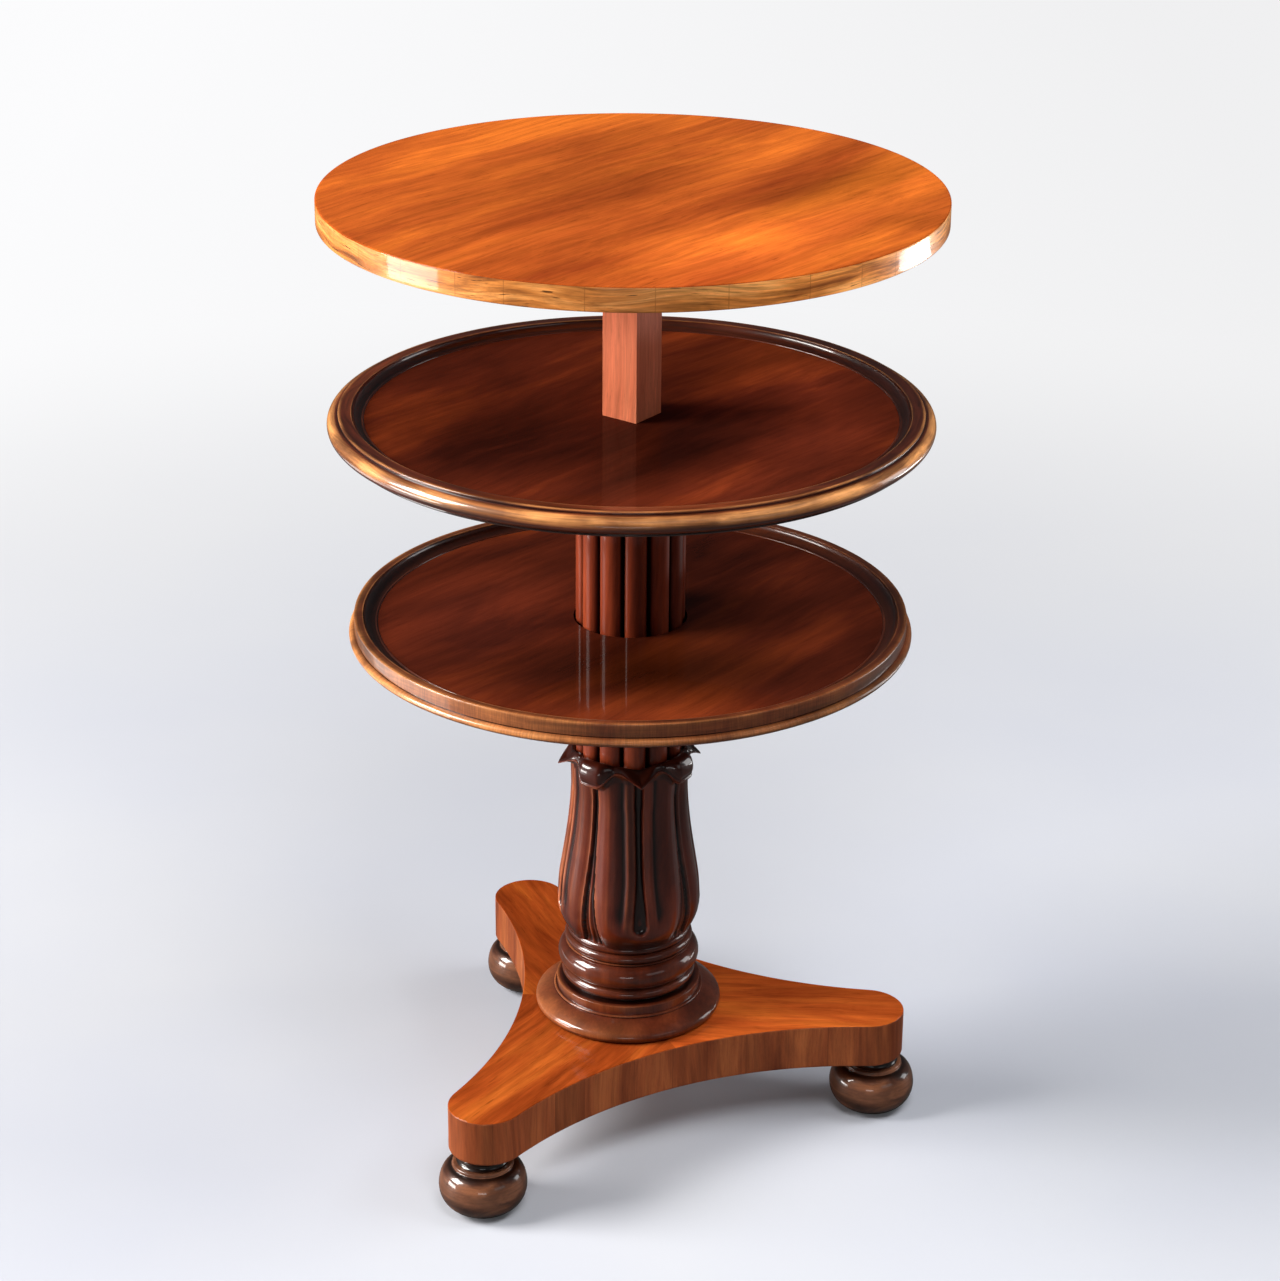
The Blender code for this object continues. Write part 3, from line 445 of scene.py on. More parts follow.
EDGE_WOOD = wood(
    "top_edge", (0.20, 0.055, 0.011), (0.54, 0.185, 0.038), (0.80, 0.34, 0.095), figure=(9.0, 70.0),
    streak=(14.0, 420.0), contrast=0.55, rough=0.34, coat=0.4, coat_rough=0.07, specular=0.2, dashes=0.8,
    # patch: painted light, the edge lighter on the front right.
    patches=[(1.60, 0.913, 0.24, 0.5, 0, -0.7)],
    joint={"axis": "X", "scale": 17.0, "width": 0.0006, "tone": 0.05, "depth": 0.6},
)
MIDDLE_FLOOR_WOOD = wood(
    "middle_floor", (0.035, 0.006, 0.003), (0.085, 0.0135, 0.005), (0.20, 0.034, 0.008), turn=GRAIN_TURN,
    shift=2.2, contrast=0.2, rough=0.3, coat=0.14, coat_rough=0.02, specular=0.0,
    # patches: painted light and shade, darker on the left, lighter on the right and front right where the
    # top casts its shadow, darker in front of the post where its reflection lies.
    patches=[
        (-0.13, -0.02, 0.17, 0.13, 60, 0.35), (0.16, 0.03, 0.16, 0.10, 60, -1.6),
        (0.0, -0.14, 0.14, 0.08, 0, 0.2), (0.14, -0.12, 0.16, 0.07, 50, -0.7),
    ],
)
LOWER_FLOOR_WOOD = wood(
    "lower_floor", (0.035, 0.006, 0.003), (0.085, 0.0135, 0.005), (0.20, 0.034, 0.008), turn=GRAIN_TURN,
    shift=5.7, contrast=0.2, rough=0.3, coat=0.28, coat_rough=0.02, specular=0.0,
    # patches: painted light and shade, lighter at the left and at the right, where the middle tier casts its
    # shadow, and darker in front.
    patches=[
        (-0.15, 0.0, 0.15, 0.10, 60, -1.2), (0.16, 0.03, 0.16, 0.10, 60, -0.6),
        (0.02, -0.13, 0.18, 0.09, 0, 0.8),
    ],
)
# Rims, carved and turned pieces: raised parts paler by wear and painted light, one side more; hollows and
# undersides painted shade.
RIM_WOOD = wood(
    "middle_rim", (0.035, 0.007, 0.003), (0.08, 0.015, 0.006), (0.15, 0.033, 0.011), figure=(5.0, 60.0),
    streak=(10.0, 330.0), contrast=0.6, rough=0.34, coat=0.8, coat_rough=0.07, specular=0.3,
    worn_and_lit=((0.76, 0.33, 0.105), 0.25, 0.9, 0.8), lean=(0.26, 1.25), rubs=(15.0, 0.38, 0.6, 0.3), painted_shade=0.9,
)
BAND_WOOD = wood(
    "lower_rim", (0.035, 0.007, 0.003), (0.08, 0.015, 0.006), (0.15, 0.033, 0.011), figure=(5.0, 60.0),
    streak=(10.0, 330.0), contrast=0.35, rough=0.34, coat=0.6, coat_rough=0.08, specular=0.3,
    worn_and_lit=((0.70, 0.28, 0.085), 0.1, 0.75, 0.95), lean=(0.26, 0.35), painted_shade=0.9, cross=0.3,
)
CARVED_WOOD = wood(
    "carved_mahogany", (0.048, 0.0066, 0.003), (0.096, 0.0132, 0.0052), (0.165, 0.027, 0.0105),
    figure=(4.0, 22.0), streak=(8.0, 300.0), contrast=0.15, rough=0.36, coat=0.9, coat_rough=0.07,
    specular=0.2, worn_and_lit=((0.60, 0.18, 0.07), 0.05, 0.9, 0.75), lean=(0.065, 0.08), painted_shade=0.95,
)
REED_WOOD = wood(
    "reeded_mahogany", (0.11, 0.016, 0.006), (0.22, 0.034, 0.012), (0.36, 0.064, 0.022), figure=(4.0, 40.0),
    streak=(6.0, 260.0), contrast=0.2, rough=0.4, coat=0.6, coat_rough=0.05, specular=0.15, painted_shade=0.97,
)
TURNED_WOOD = wood(
    "turned_mahogany", (0.033, 0.0058, 0.0025), (0.07, 0.0125, 0.005), (0.13, 0.027, 0.010),
    figure=(7.0, 26.0), streak=(10.0, 300.0), contrast=0.2, rough=0.32, coat=1.0, coat_rough=0.07,
    specular=0.15, worn_and_lit=((0.50, 0.16, 0.05), 0.1, 0.9, 0.75), lean=(0.085, 0.08), painted_shade=0.95,
)
FOOT_WOOD = wood(
    "foot_mahogany", (0.02, 0.006, 0.003), (0.06, 0.020, 0.010), (0.16, 0.058, 0.026), figure=(30.0, 60.0),
    streak=(22.0, 300.0), contrast=0.3, rough=0.36, coat=1.0, coat_rough=0.09, specular=0.2,
    worn_and_lit=((0.40, 0.16, 0.08), 0.2, 0.9, 0.55), painted_shade=0.9,
)
PLATFORM_WOOD = wood(
    "platform_veneer", (0.16, 0.023, 0.004), (0.28, 0.049, 0.008), (0.41, 0.092, 0.013), figure=(5.0, 24.0),
    streak=(8.0, 160.0), contrast=0.3, rough=0.3, coat=0.2, coat_rough=0.12, specular=0.0, dashes=0.3,
    # patch: painted light, the right arm lighter where the tiers cast their shadow.
    patches=[(1.86, 0.0, 0.32, 0.22, 0, -0.6)],
)
PLATFORM_EDGE_WOOD = wood(
    "platform_edge", (0.15, 0.030, 0.008), (0.25, 0.059, 0.017), (0.38, 0.105, 0.030), figure=(4.0, 36.0),
    streak=(9.0, 260.0), contrast=0.28, rough=0.38, coat=0.08, coat_rough=0.2, specular=0.25,
    joint={"axis": "Y", "scale": 24.0, "width": 0.0005, "tone": 0.2, "depth": 0.7},
)
RAW_WOOD = wood(
    "raw_post", (0.49, 0.120, 0.052), (0.63, 0.165, 0.076), (0.74, 0.22, 0.105), figure=(3.0, 30.0),
    streak=(5.0, 240.0), contrast=0.25, rough=0.6, specular=0.15, upright=True, shift=1.1, bump=0.5,
)
UNDER_WOOD = wood(
    "plain_underside", (0.10, 0.03, 0.012), (0.17, 0.055, 0.022), (0.25, 0.09, 0.036), turn=GRAIN_TURN,
    shift=3.1, contrast=0.3, rough=0.55, specular=0.25, bump=0.4,
)
STEEL = metal("old_steel", (0.30, 0.29, 0.27), 0.42)
BRASS = metal("old_brass", (0.62, 0.42, 0.16), 0.34)


# Top

def add_top():
    flat = 0.2760
    rings = [
        (flat, TOP_HIGH), (0.2786, TOP_HIGH), (0.2793, TOP_HIGH - 0.0001), (0.2797, TOP_HIGH - 0.0004),
        (0.2799, TOP_HIGH - 0.0009), (0.2785, TOP_HIGH - 0.001), (0.278, TOP_LOW + 0.0004),
        (0.2776, TOP_LOW), (flat, TOP_LOW),
    ]
    circle = np.linspace(0, 2 * math.pi, FINE_TURN + 1)
    outlines = [np.stack([r * np.cos(circle), r * np.sin(circle), circle * 0 + z], 1) for r, z in rings]
    disc = plate("top_disc", [o[:-1] for o in outlines], outlines)
    stand_in(disc, "top", TOP_WOOD, "polished_mahogany", "top_board")
    high = TOP_HIGH - 0.0011
    inner = 0.2781
    outer = 0.2800
    profile = rounded([
        (inner, high, 0), (outer, high, 0.0004), (outer, high - 0.0012, 0), (outer, TOP_LOW + 0.0026, 0),
        (outer, TOP_LOW, 0.0014), (inner, TOP_LOW, 0),
    ])
    band = turned("top_edge_band", marked(profile, 0), FINE_TURN)
    stand_in(band, "top", EDGE_WOOD, "crossbanded_mahogany", "top_banding")


# Tiers

def dished(foot, floor, cove, edge, top):
    """The inside of a dished rim: a bead at the floor's edge, the cove and the eased flat ring."""
    bead = 0.0009
    # Marks: painted shade at the floor's edge and in the cove, wear and painted light on the bead, the arris
    # and the ring.
    points = marked([(foot - 0.0004, floor - 0.006), (foot - 0.0004, floor)], -0.2)
    points += marked(arc((foot + bead, floor), [bead, bead], 175, 5, 8), 0.1)
    hollow = foot + 2 * bead
    width = cove - 2 * bead
    points += marked(arc((hollow, top - 0.0004), [width, top - floor - 0.0004], -90, -6, 12), (-0.5, -0.1))
    points += marked(rounded([points[-1][:2] + (0,), (foot + cove, top, 0.0010), (edge, top, 0)])[1:-1], 0.5)
    return points + marked([(foot + cove + 0.0016, top), (edge - 0.0030, top)], (0.12, 0.24))


def add_middle_rim():
    edge = 0.2660
    quirk = 0.0025
    points = dished(0.243, MIDDLE_TOP - 0.008, 0.0105, edge, MIDDLE_TOP)
    arris = rounded([
        (edge - 0.003, MIDDLE_TOP, 0), (edge, MIDDLE_TOP, 0.0009), (edge, MIDDLE_TOP - quirk, 0),
    ])
    # Marks: painted shade in the quirk, under the bullnose and at the foot; its upper side paler, wear and
    # painted light from above.
    points += marked(arris[1:-1], (0.6, 0.4)) + marked(arris[-1:], -1.0)
    nose = arc((edge, 0.71425), [0.010, 0.00825], 88, -88, 24)
    points += marked(nose[:3], (-0.6, 0.4)) + marked(nose[3:8], (0.6, 1.0)) + marked(nose[8:13], (0.9, 0.5))
    points += marked(nose[13:], (0.4, -1.0))
    foot = [
        (edge, 0.7056), (edge + 0.0006, 0.7052), (edge + 0.0008, 0.7042), (edge, MIDDLE_LOW),
        (0.2426, MIDDLE_LOW),
    ]
    points += marked(foot, -0.6)
    rim = turned("middle_rim", points, FINE_TURN)
    stand_in(rim, "pedestal", RIM_WOOD, "crossbanded_mahogany", "middle_tier_rim")


def add_lower_rim():
    edge = 0.2570
    points = dished(0.2355, LOWER_TOP - 0.008, 0.013, edge, LOWER_TOP)
    arris = rounded([(edge - 0.003, LOWER_TOP, 0), (edge, LOWER_TOP, 0.0012), (edge, 0.5130, 0)])
    # Marks: the arris, band and bead paler, wear and painted light; painted shade in the quirk and under the
    # bead.
    points += marked(arris[1:-1], (0.6, 0.5)) + marked([(edge, 0.5235), (edge, 0.5136)], (0.36, 0.3))
    points += marked([(edge - 0.0008, 0.5132), (edge - 0.0008, 0.5126)], -1.0)
    bead = arc((edge, 0.5088), [0.0050, 0.0038], 90, -90, 16)
    points += marked(bead[:8], (0.3, 1.0)) + marked(bead[8:], (0.9, -0.6))
    points += marked([(edge, LOWER_LOW), (0.2351, LOWER_LOW)], -0.6)
    rim = turned("lower_rim", points, FINE_TURN)
    stand_in(rim, "lower_tier", BAND_WOOD, "crossbanded_mahogany", "lower_tier_rim")


# Pedestal

def add_column():
    reeds = 12
    facets = 20
    radius = 0.0512
    depth = 0.0065
    valley = 0.0095
    spread = 0.88
    half = math.pi / reeds
    outline = []
    for k in range(reeds):
        crest = REED_TURN + 2 * half * k
        for i in range(facets):
            share = math.sin(math.pi * (i / (facets - 1) - 0.5))
            drop = 1 - math.sqrt(max(0.0, 1 - share**2))
            # Mark: painted shade on the reeds' flanks and in the grooves between them.
            outline.append((crest + half * spread * share, radius - depth * drop, 0.8 - 1.8 * drop))
        outline.append((crest + half, radius - valley, -1.0))
    outline = np.array(outline)
    levels = np.array([0.7027, 0.62, 0.54, 0.46, 0.40, 0.3765])
    angle = np.append(outline[:, 0], outline[0, 0] + 2 * math.pi)
    r = np.append(outline[:, 1], outline[0, 1])
    x = np.repeat((r * np.cos(angle))[None], len(levels), 0)
    y = np.repeat((r * np.sin(angle))[None], len(levels), 0)
    z = np.repeat(levels[:, None], len(angle), 1)
    points = np.stack([x, y, z], 2)
    grain = np.stack([z, x, y], 2)
    wear_and_shade = np.repeat(outline[None, :, 2], len(levels), 0)
    column = grid_object("reeded_shaft", points[:, :-1], grain, wear_and_shade, caps=True)
    stand_in(column, "pedestal", REED_WOOD, "dark_mahogany", "reeded_column")


def add_turned_rings():
    bore = 0.0303
    z = COLLAR_TOP
    # Marks: painted shade in the grooves, the cove and under the drum; the beads, torus and drum paler, wear
    # and painted light.
    points = marked([(bore, SOCLE_TOP)], 0)
    points += marked(arc((0.0552, 0.1916), [0.0043, 0.0044], 90, -72, 14), (0.0, 0.15))
    points += marked(arc((0.0568, 0.1830), [0.0053, 0.0049], 72, -45, 14), 0.15)
    points += marked([(0.0592, 0.1793), (0.0592, 0.1786)], -0.9)
    points += marked(arc((0.0604, 0.1778), [0.0010, 0.0008], 90, -50, 4), 0.5)
    points += marked(arc((0.0575, 0.1642), [0.0110, 0.0124], 78, -72, 24), (0.1, 0.25))
    points += marked(arc((0.0570, 0.1458), [0.0078, 0.0062], 64, -78, 16), (0.2, 0.1))
    points += marked(arc((0.0640, 0.1398), [0.0052, 0.0024], 165, 262, 8), -0.9)
    drum = rounded([
        (0.0633, 0.1374, 0), (0.0698, 0.1374, 0.0008), (0.0698, z + 0.0022, 0.0004), (0.0720, z + 0.0022, 0),
    ])[1:-1]
    points += marked(drum[:5], 0.7) + marked(drum[5:], (0.0, -0.5))
    points += marked(arc((0.0715, z + 0.0011), [0.0012, 0.0011], 90, -90, 6), 0.7)
    points += marked([(bore, z)], 0)
    socle = turned("socle_rings", points, FINE_TURN, along="up")
    stand_in(socle, "pedestal", TURNED_WOOD, "dark_mahogany", "turned_socle")
    low = PLATFORM_TOP + 0.0002
    nose = arc((0.0845, low + 0.0060), [0.0061, 0.0060], 60, -85, 18)
    slope = [(0.0728, z - 0.0001), (0.0748, z - 0.0011), (0.0790, z - 0.0030), (0.0835, z - 0.0054), nose[0]]
    # Marks: painted shade on the collar's top under the drum and under its nose; the slope and nose paler,
    # wear and painted light.
    points = marked([(bore, z), (0.0722, z)], -0.5)
    points += marked([tuple(p) for p in curve_through(slope, 16)][:-1], (0.15, 0.6))
    points += marked(nose[:9], (0.7, 0.8)) + marked(nose[9:], (0.4, -1.0))
    points += marked([(bore, low)], 0)
    collar = turned("collar_dome", points, FINE_TURN, along="up")
    stand_in(collar, "pedestal", TURNED_WOOD, "dark_mahogany", "collar_ring")


def smooth(low, high, value):
    """An eased step from 0 at low to 1 at high."""
    share = np.clip((value - low) / (high - low), 0, 1)
    return share * share * (3 - 2 * share)


def blur(field, reach):
    """Mean over a square of points of a field that closes on itself round the axis."""
    out = field.copy()
    for axis in (1, 0):
        added = np.zeros_like(out)
        for step in range(-reach, reach + 1):
            moved = np.roll(out, step, axis)
            if axis == 0 and step > 0:
                moved[:step] = out[:1]
            if axis == 0 and step < 0:
                moved[step:] = out[-1:]
            added += moved
        out = added / (2 * reach + 1)
    return out


def from_petal(angle):
    """Angle from the middle of the nearest of the four petals, without its sign."""
    pitch = math.pi / 2
    return np.abs((angle - LOTUS_TURN + pitch / 2) % pitch - pitch / 2)


def petal_relief(angle, z, radius):
    """Height of the carving over the baluster's outline in mm, mostly below 0.

    Four petals have a flute each with a raised border, and narrow ribbed leaves lie between the petals.
    """
    s = from_petal(angle) * radius
    half_pitch = math.pi / 4 * radius
    gap = 2.5 + 8.7 * np.clip(1 - z / 125, 0, 1) ** 1.8
    edge = half_pitch - gap - s
    width = 3.8 + 3.8 * smooth(85, 25, z) + 2.0 * smooth(138, 165, z)
    flute = np.sqrt(s**2 + (0.85 * np.minimum(z - 28.0, 0)) ** 2) - width
    inside = np.clip(-flute / width, 0, 1)
    fade = smooth(16, 46, z)
    lift = -3.6 * fade
    bowl = lift - 5.0 * np.clip(1 - (1 - inside) ** 2, 0, 1) ** 0.4
    border_width = 12.0
    border = np.interp(
        flute / border_width,
        [0, 0.25, 0.5, 0.62, 0.74, 0.88, 1],
        [0, 0.6, 1.6, 2.0, 1.3, 0.0, -0.6],
    )
    border = lift + border * fade
    reach = np.maximum(flute - border_width, 0)
    share = reach / np.maximum(reach + np.maximum(edge, 0), 0.01)
    inner = lift - 0.6 * fade
    crest = 0.48
    swell = np.interp(
        share,
        [0, 0.12, 0.28, crest, 0.65, 0.8, 0.92, 1],
        [1, 0.74, 0.3, 0, 0.12, 0.4, 0.74, 1],
    )
    lobe = swell * np.where(share < crest, inner, -4.6)
    field = np.where(flute < 0, bowl, np.where(flute < border_width, border, lobe))
    lip = 1.2 * np.exp(-(((edge - 1.0) / 0.7) ** 2))
    field = np.where(edge > 0, field + lip, field)
    from_middle = np.clip((half_pitch - s) / np.maximum(gap, 0.1), 0, 1)
    ribs = 0.9 * np.cos(from_middle * math.pi * 3) * smooth(100, 50, z)
    leaf = -8.2 + 2.0 * (1 - from_middle**2) + ribs
    return np.where(edge > 0, field, leaf)


# Sections of the curled rim of leaves, in mm from the axis and the floor, from the neck over to the reeds
LEAF_CREST = [
    (55.8, 371.0), (56.6, 375.0), (57.6, 377.6), (58.6, 379.0), (58.6, 380.2), (57.4, 380.8),
    (57.0, 383.0), (56.0, 385.0), (54.4, 386.0), (52.8, 385.4), (50.6, 382.0),
]
LEAF_TIP = [
    (53.6, 366.0), (56.0, 368.8), (60.5, 370.4), (65.0, 370.4), (68.8, 369.4), (68.2, 371.6),
    (64.8, 373.6), (61.0, 375.2), (57.4, 378.6), (54.4, 383.0), (50.6, 381.0),
]
LEAF_SCROLL = [
    (55.6, 359.6), (58.0, 362.8), (60.6, 363.6), (64.4, 364.2), (66.2, 366.2), (65.6, 368.8),
    (67.4, 373.6), (66.8, 381.0), (62.6, 387.6), (55.6, 388.6), (50.6, 382.0),
]


def leaf_rim(angle, rows):
    """The curled rim as rows of radius and level in mm, and each column's share of a scroll."""
    from_tip = np.degrees(from_petal(angle))
    tip = np.clip(1 - from_tip / 17.0, 0, 1) ** 1.15
    scroll = smooth(23.0, 38.0, from_tip)
    wave = 0.9 * np.sin(np.radians(from_tip * 24)) * smooth(17, 24, from_tip) * (1 - scroll)
    sections = [(LEAF_CREST, 1 - tip - scroll), (LEAF_TIP, tip), (LEAF_SCROLL, scroll)]
    rim = sum(curve_through(section, rows)[:, None] * share[None, :, None] for section, share in sections)
    rim[:, :, 1] += wave[None] * np.sin(np.linspace(0, math.pi, rows))[:, None]
    return rim, scroll


def add_baluster():
    """The carved lotus, worked out in mm: the stem of petals, a short neck and the curled rim."""
    columns = 560
    z = np.concatenate([np.linspace(0.3, 30, 34)[:-1], np.linspace(30, 150, 70)])
    angle = np.linspace(0, 2 * math.pi, columns + 1)
    envelope = np.interp(
        z,
        [0, 4.5, 13, 21.5, 30, 38, 47, 55, 68, 80, 97, 113, 130, 146, 158],
        [58.8, 62.2, 66.0, 68.6, 69.8, 70.2, 70.0, 69.2, 67.2, 65.2, 62.5, 60.4, 58.6, 57.6, 57.2],
    )
    envelope = np.convolve(np.pad(envelope, 4, mode="edge"), np.ones(9) / 9, mode="valid")[:, None]
    field = petal_relief(angle[None], z[:, None], envelope)
    field = field * (0.5 + 0.5 * smooth(0, 9, z[:, None]))
    soft = blur(field[:, :-1], 1)
    # cavity: painted shade in the carving's hollows and towards the petals' foot, wear and painted light on
    # raised parts.
    cavity = np.clip((soft - blur(soft, 7)) / 1.1 - 0.7 * smooth(24, 5, z[:, None]), -1, 1)
    stem = envelope + np.concatenate([soft, soft[:, :1]], 1)
    stem_level = np.repeat(SOCLE_TOP * 1000 + z[:, None], columns + 1, 1)

    rim_rows = 56
    rim, scroll = leaf_rim(angle, rim_rows)
    neck_steps = 14
    shares = np.linspace(0, 1, neck_steps + 1)[1:-1, None]
    neck_level = stem_level[-1] + (rim[0, :, 1] - stem_level[-1])[None] * shares
    carving = (stem[-1] - stem[-1].mean()) * 0.8
    neck_end = rim[0, :, 0] + carving
    neck = stem[-1][None] + (neck_end - stem[-1])[None] * smooth(0, 1, shares)
    fading = 10
    rim[:fading, :, 0] += carving[None] * (1 - smooth(0, fading, np.arange(float(fading))))[:, None]

    r = np.concatenate([stem, neck, rim[:, :, 0]])[::-1] / 1000
    level = np.concatenate([stem_level, neck_level, rim[:, :, 1]])[::-1] / 1000
    x = r * np.cos(angle)
    y = r * np.sin(angle)
    row = np.arange(rim_rows)
    # Marks on the curled rim: painted shade under and inside the curl, a little less on the scrolls; wear
    # and painted light on its edge.
    rise = np.interp(row, [0, 12, 17, 23, 28, 44, 55], [-0.3, -0.6, 0.4, 0.4, -0.5, -0.5, -1.0])
    neck_cavity = cavity[-1:] * np.ones((neck_steps - 1, 1))
    rolled = rise[:, None] + np.where(row > 28, 0.2, 0.0)[:, None] * scroll[None, :-1]
    wear_and_shade = np.concatenate([cavity, neck_cavity, rolled])[::-1]
    points = np.stack([x, y, level], 2)
    grain = np.stack([level, x, y], 2)
    body = grid_object("lotus_body", points[:, :-1], grain, wear_and_shade, caps=True)
    stand_in(body, "pedestal", CARVED_WOOD, "dark_mahogany", "lotus_baluster")


# Platform and feet

def platform_edge(inset):
    """The platform's outline, drawn in by an inset: three rounded tips and three hollow sides."""
    tip_circle = 0.235
    tip = 0.036
    waist = 0.1045
    side = (tip_circle**2 + waist**2 - tip_circle * waist - tip**2) / (tip_circle + 2 * tip - 2 * waist)
    far = side + waist
    middle = (far * math.cos(math.radians(60)), far * math.sin(math.radians(60)))
    lean = math.degrees(math.atan2(middle[1], middle[0] - tip_circle))
    half_side = lean - 60.0
    points = []
    for angle in FOOT_ANGLES:
        a = math.radians(angle)
        tip_centre = (tip_circle * math.cos(a), tip_circle * math.sin(a))
        points += arc(tip_centre, [tip - inset] * 2, angle - lean, angle + lean, 28)
        b = math.radians(angle + 60)
        side_centre = (far * math.cos(b), far * math.sin(b))
        start = angle + 240 + half_side
        end = angle + 240 - half_side
        points += arc(side_centre, [side + inset] * 2, start, end, 36)[1:-1]
    return np.array(points)


def set_arm_grain(mesh):
    """Grain along each face's nearest arm, so that the platform's top is three veneers."""
    arms = np.radians(FOOT_ANGLES)
    grain = np.zeros((len(mesh.loops), 3))
    for face in mesh.polygons:
        heading = math.atan2(face.center.y, face.center.x)
        number = int(np.argmax(np.cos(heading - arms)))
        along = Vector((math.cos(arms[number]), math.sin(arms[number]), 0.0))
        across = Vector((-along.y, along.x, 0.0))
        for corner in face.loop_indices:
            place = mesh.vertices[mesh.loops[corner].vertex_index].co
            grain[corner] = (place.dot(along) + number * VENEER_GAP, place.dot(across), place.z)
    mesh.attributes["grain"].data.foreach_set("vector", grain.ravel())


def at_level(points, z):
    return np.concatenate([points, np.full((len(points), 1), z)], 1)


def add_platform():
    inner = platform_edge(0.0019)
    outer = platform_edge(0.0006)
    hidden = 0.080
    under_collar = inner / np.linalg.norm(inner, axis=1, keepdims=True) * hidden
    rows = [
        (under_collar, PLATFORM_TOP), (outer, PLATFORM_TOP), (platform_edge(0.0002), PLATFORM_TOP - 0.0004),
        (inner, PLATFORM_TOP - 0.0006), (inner, PLATFORM_LOW),
    ]
    outlines = [at_level(p, z) for p, z in rows]
    plank = plate("platform_slab", outlines, np.zeros((len(rows), len(inner) + 1, 3)))
    set_arm_grain(plank.data)
    stand_in(plank, "pedestal", PLATFORM_WOOD, "polished_mahogany", "platform")
    back = 0.0018
    loop = [
        (0.0003, PLATFORM_TOP - 0.0005), (0.0, PLATFORM_TOP - 0.0009), (0.0, PLATFORM_TOP - 0.0016),
        (0.0, PLATFORM_LOW + 0.0022), (0.0, PLATFORM_LOW + 0.0012), (0.0003, PLATFORM_LOW + 0.0003),
        (0.0011, PLATFORM_LOW), (back, PLATFORM_LOW), (back, PLATFORM_TOP - 0.0005),
    ]
    points = np.array([at_level(platform_edge(inset), z) for inset, z in loop])
    steps = np.linalg.norm(np.roll(outer, -1, 0) - outer, axis=1)
    length = np.concatenate([[0], np.cumsum(steps)])
    grain = np.zeros((len(loop), len(length), 3))
    for row, (_, z) in enumerate(loop):
        grain[row, :, 0] = z
        grain[row, :, 1] = length
        grain[row, :, 2] = row * 0.002
    band = grid_object("platform_edge_band", points, grain, np.zeros(points.shape[:2]), closed_rows=True)
    stand_in(band, "pedestal", PLATFORM_EDGE_WOOD, "crossbanded_mahogany", "platform_banding")


def add_feet():
    core = 0.0003
    # Marks: painted shade on the top and neck under the platform, under the lip and on the bun's top and
    # underside; the lip and the bun's widest part paler, wear and painted light.
    points = marked([(core, 0.0617), (0.0245, 0.0617), (0.0245, 0.0600)], -0.8)
    points += marked(arc((0.0262, 0.0555), [0.0032, 0.0040], 110, 250, 8), -0.7)
    lip = rounded([
        (0.0245, 0.0502, 0), (0.0285, 0.0502, 0.0012), (0.0288, 0.0472, 0.0008), (0.0298, 0.0468, 0),
    ])
    points += marked(lip[:-2], 0.7) + marked(lip[-2:], -0.8)
    bun = curve_through([
        (0.0298, 0.0466), (0.0336, 0.0450), (0.0371, 0.0418), (0.0397, 0.0366), (0.0411, 0.0305),
        (0.0415, 0.0250), (0.0403, 0.0175), (0.0366, 0.0102), (0.0304, 0.0044), (0.0235, 0.0010),
        (0.0185, 0.0),
    ], 44)
    points += marked(bun[:11], (-1.0, 0.4)) + marked(bun[11:22], 0.6) + marked(bun[22:], (0.45, -1.0))
    points += marked([(core, 0.0)], -0.8)
    for number, angle in enumerate(FOOT_ANGLES, 1):
        a = math.radians(angle)
        centre = (FOOT_CIRCLE * math.cos(a), FOOT_CIRCLE * math.sin(a))
        foot = turned(f"bun_{number}", points, SMALL_TURN, centre)
        stand_in(foot, "pedestal", FOOT_WOOD, "dark_mahogany", f"bun_foot_{number}")


def dress_solids():
    """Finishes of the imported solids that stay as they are."""
    finishes = {
        "middle_tier_board": MIDDLE_FLOOR_WOOD, "lower_tier_board": LOWER_FLOOR_WOOD,
        "post": RAW_WOOD, "post_guide": RAW_WOOD, "post_shoe": RAW_WOOD, "tenon_wedge": RAW_WOOD,
        "column_flange": UNDER_WOOD, "post_flange": UNDER_WOOD,
        "lower_tier_hub": UNDER_WOOD, "tier_stop_ring": UNDER_WOOD,
    }
    for name, node in nodes.items():
        if name in finishes:
            dress(node, finishes[name])
        elif "catch" in name or "pin" in name:
            dress(node, BRASS)
        elif "screw" in name:
            dress(node, STEEL)


# Stage

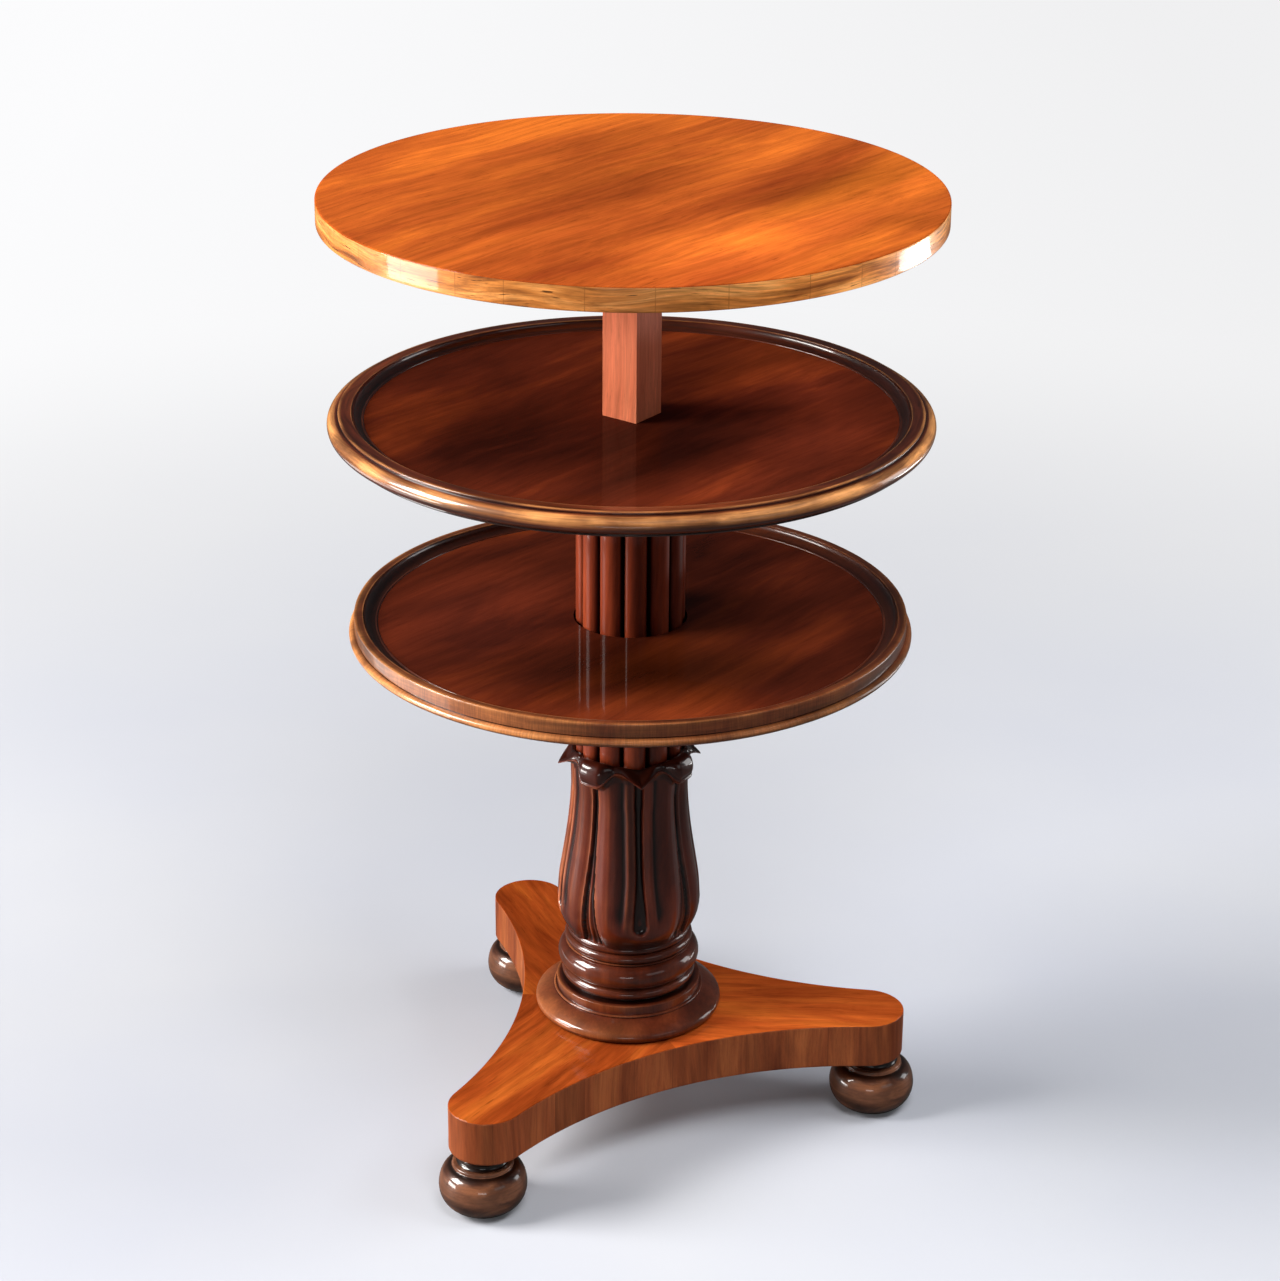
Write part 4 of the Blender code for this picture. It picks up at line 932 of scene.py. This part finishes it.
def add_floor():
    """A pale floor that is its own backdrop: it glows far away and takes the shadow near the object."""
    mesh = bpy.data.meshes.new("floor")
    size = 14.0
    corners = [(-size, -size, 0), (size, -size, 0), (size, size, 0), (-size, size, 0)]
    mesh.from_pydata(corners, [], [(0, 1, 2, 3)])
    floor = bpy.data.objects.new("floor", mesh)
    bpy.context.scene.collection.objects.link(floor)
    material, tree, shader = new_material("studio_floor")
    place = object_place(tree)
    rays = add(tree, "LightPath").outputs
    seen = rays["Is Camera Ray"]
    cloud = noise(tree, place, 1.6, 3.0)["Fac"]
    tint = ramp(tree, cloud, [(0.3, (0.43, 0.45, 0.515)), (0.7, (0.475, 0.49, 0.53))])
    axes = axes_of(tree, place)
    # Bounced and reflected light sees the floor darker than the camera does, darker still in front: painted
    # shade on the object's shaded sides and in its reflections.
    front = remap(tree, axes["Y"], -0.25, -0.65, 0.0, 1.0)
    bounced = mix(tree, front, (0.25, 0.24, 0.24, 1), (0.07, 0.06, 0.06, 1))
    bounced = mix(tree, rays["Is Glossy Ray"], bounced, (0.07, 0.07, 0.07, 1))
    # across: painted light and shade, the floor darker on the left and lighter on the right.
    across = grey(tree, remap(tree, axes["X"], -0.9, 0.9, 0.84, 1.06))
    colour = mix(tree, seen, bounced, mix(tree, 1.0, tint, across, "MULTIPLY"))
    tree.links.new(colour, shader.inputs["Base Color"])
    shader.inputs["Roughness"].default_value = 0.6
    shader.inputs["Specular IOR Level"].default_value = 0.1
    away = add(tree, "VectorMath", {0: place}, operation="LENGTH").outputs["Value"]
    # side: the far floor's glow brighter on the left than on the right, painted light from the left.
    side = remap(tree, axes["X"], -1.2, 1.2, 0.97, 0.87)
    glow = add(tree, "CombineColor", {0: side, 1: side, 2: product(tree, side, 1.01)}).outputs[0]
    emission = add(tree, "Emission", {"Color": glow, "Strength": 1.0}).outputs[0]
    fade = {"Value": away, "From Min": 0.4, "From Max": 2.6, "To Min": 0.02}
    share = add(tree, "MapRange", fade, interpolation_type="SMOOTHSTEP").outputs["Result"]
    share = product(tree, share, seen)
    blend = add(tree, "MixShader", {0: share, 1: shader.outputs[0], 2: emission}).outputs[0]
    tree.links.new(blend, tree.nodes["Material Output"].inputs["Surface"])
    dress(floor, material)


def add_light(name, place, target, size, power, colour=(1.0, 1.0, 1.0), glossy=True):
    """An area light that faces a target and is itself unseen by the camera."""
    light = bpy.data.lights.new(name, "AREA")
    light.shape = "RECTANGLE"
    light.size = size[0]
    light.size_y = size[1]
    light.energy = power
    light.color = colour
    obj = bpy.data.objects.new(name, light)
    obj.location = place
    direction = Vector(target) - obj.location
    obj.rotation_euler = direction.to_track_quat("-Z", "Y").to_euler()
    obj.visible_camera = False
    obj.visible_glossy = glossy
    bpy.context.scene.collection.objects.link(obj)


def add_studio():
    """A dim room, brighter on both sides, with a broad window on the left and smaller lights."""
    world = bpy.data.worlds.new("studio")
    world.use_nodes = True
    tree = world.node_tree
    background = tree.nodes["Background"]
    side = axes_of(tree, add(tree, "TexCoord").outputs["Generated"])["X"]
    distance = add(tree, "Math", {0: side}, operation="ABSOLUTE").outputs[0]
    seen = add(tree, "LightPath").outputs["Is Camera Ray"]
    colour = mix(tree, seen, (0.94, 0.96, 1.0, 1.0), (1.0, 1.0, 1.01, 1.0))
    tree.links.new(colour, background.inputs["Color"])
    ambient = remap(tree, distance, 0.2, 0.95, 0.04, 0.11)
    # backdrop: the background brighter on the left than on the right, painted light from the left.
    backdrop = remap(tree, side, -0.09, 0.09, 0.97, 0.87)
    strength = add(tree, "Mix", {0: seen, 2: ambient, 3: backdrop}).outputs[0]
    tree.links.new(strength, background.inputs["Strength"])
    bpy.context.scene.world = world
    add_light("key", (-3.25, -0.38, 2.45), (0, 0, 0.5), (1.8, 1.8), 300.0, (1.0, 0.97, 0.93))
    add_light("low_key", (-3.4, -0.1, 0.72), (0, 0, 0.3), (1.1, 0.9), 55.0, (1.0, 0.96, 0.92), glossy=False)
    add_light("low_window", (-2.85, -0.45, 0.29), (0, 0, 0.25), (1.2, 0.56), 38.0, (1.0, 0.97, 0.94))
    add_light("fill", (2.3, -0.1, 3.3), (0, 0, 0.5), (1.6, 1.6), 70.0, glossy=False)
    add_light("front", (0.4, -1.7, 3.2), (0, 0, 0.6), (1.2, 1.2), 58.0, glossy=False)
    add_light("low_fill", (2.7, 0.8, 0.9), (0, 0, 0.5), (0.8, 1.2), 12.0)
    add_light("wall", (2.4, -2.4, 1.5), (0, 0, 0.5), (1.8, 1.0), 4.0)
    add_light("lamp", (-0.1, -2.6, 0.42), (0, 0, 0.2), (0.9, 0.2), 3.0)
    add_light("left_glow", (-1.7, 0.35, 0.03), (-1.7, 0.35, 1.0), (1.3, 1.5), 13.0)
    add_light("right_glow", (2.55, 1.40, 0.03), (2.55, 1.40, 1.0), (0.9, 1.1), 60.0)


def add_camera():
    camera = bpy.data.objects.new("camera", bpy.data.cameras.new("camera"))
    camera.data.sensor_fit = "HORIZONTAL"
    camera.data.sensor_width = 36.0
    camera.data.lens = LENS
    camera.data.clip_end = 60.0
    turn = Matrix.Rotation(math.radians(90 - CAMERA_DOWN), 4, "X")
    turn = turn @ Matrix.Rotation(math.radians(CAMERA_LEFT), 4, "Y")
    turn = turn @ Matrix.Rotation(math.radians(CAMERA_ROLL), 4, "Z")
    camera.matrix_world = Matrix.Translation(CAMERA_PLACE) @ turn
    bpy.context.scene.collection.objects.link(camera)
    bpy.context.scene.camera = camera


add_top()
add_middle_rim()
add_lower_rim()
add_column()
add_turned_rings()
add_baluster()
add_platform()
add_feet()
dress_solids()
add_floor()
add_studio()
add_camera()
bpy.context.scene.view_settings.view_transform = "Standard"
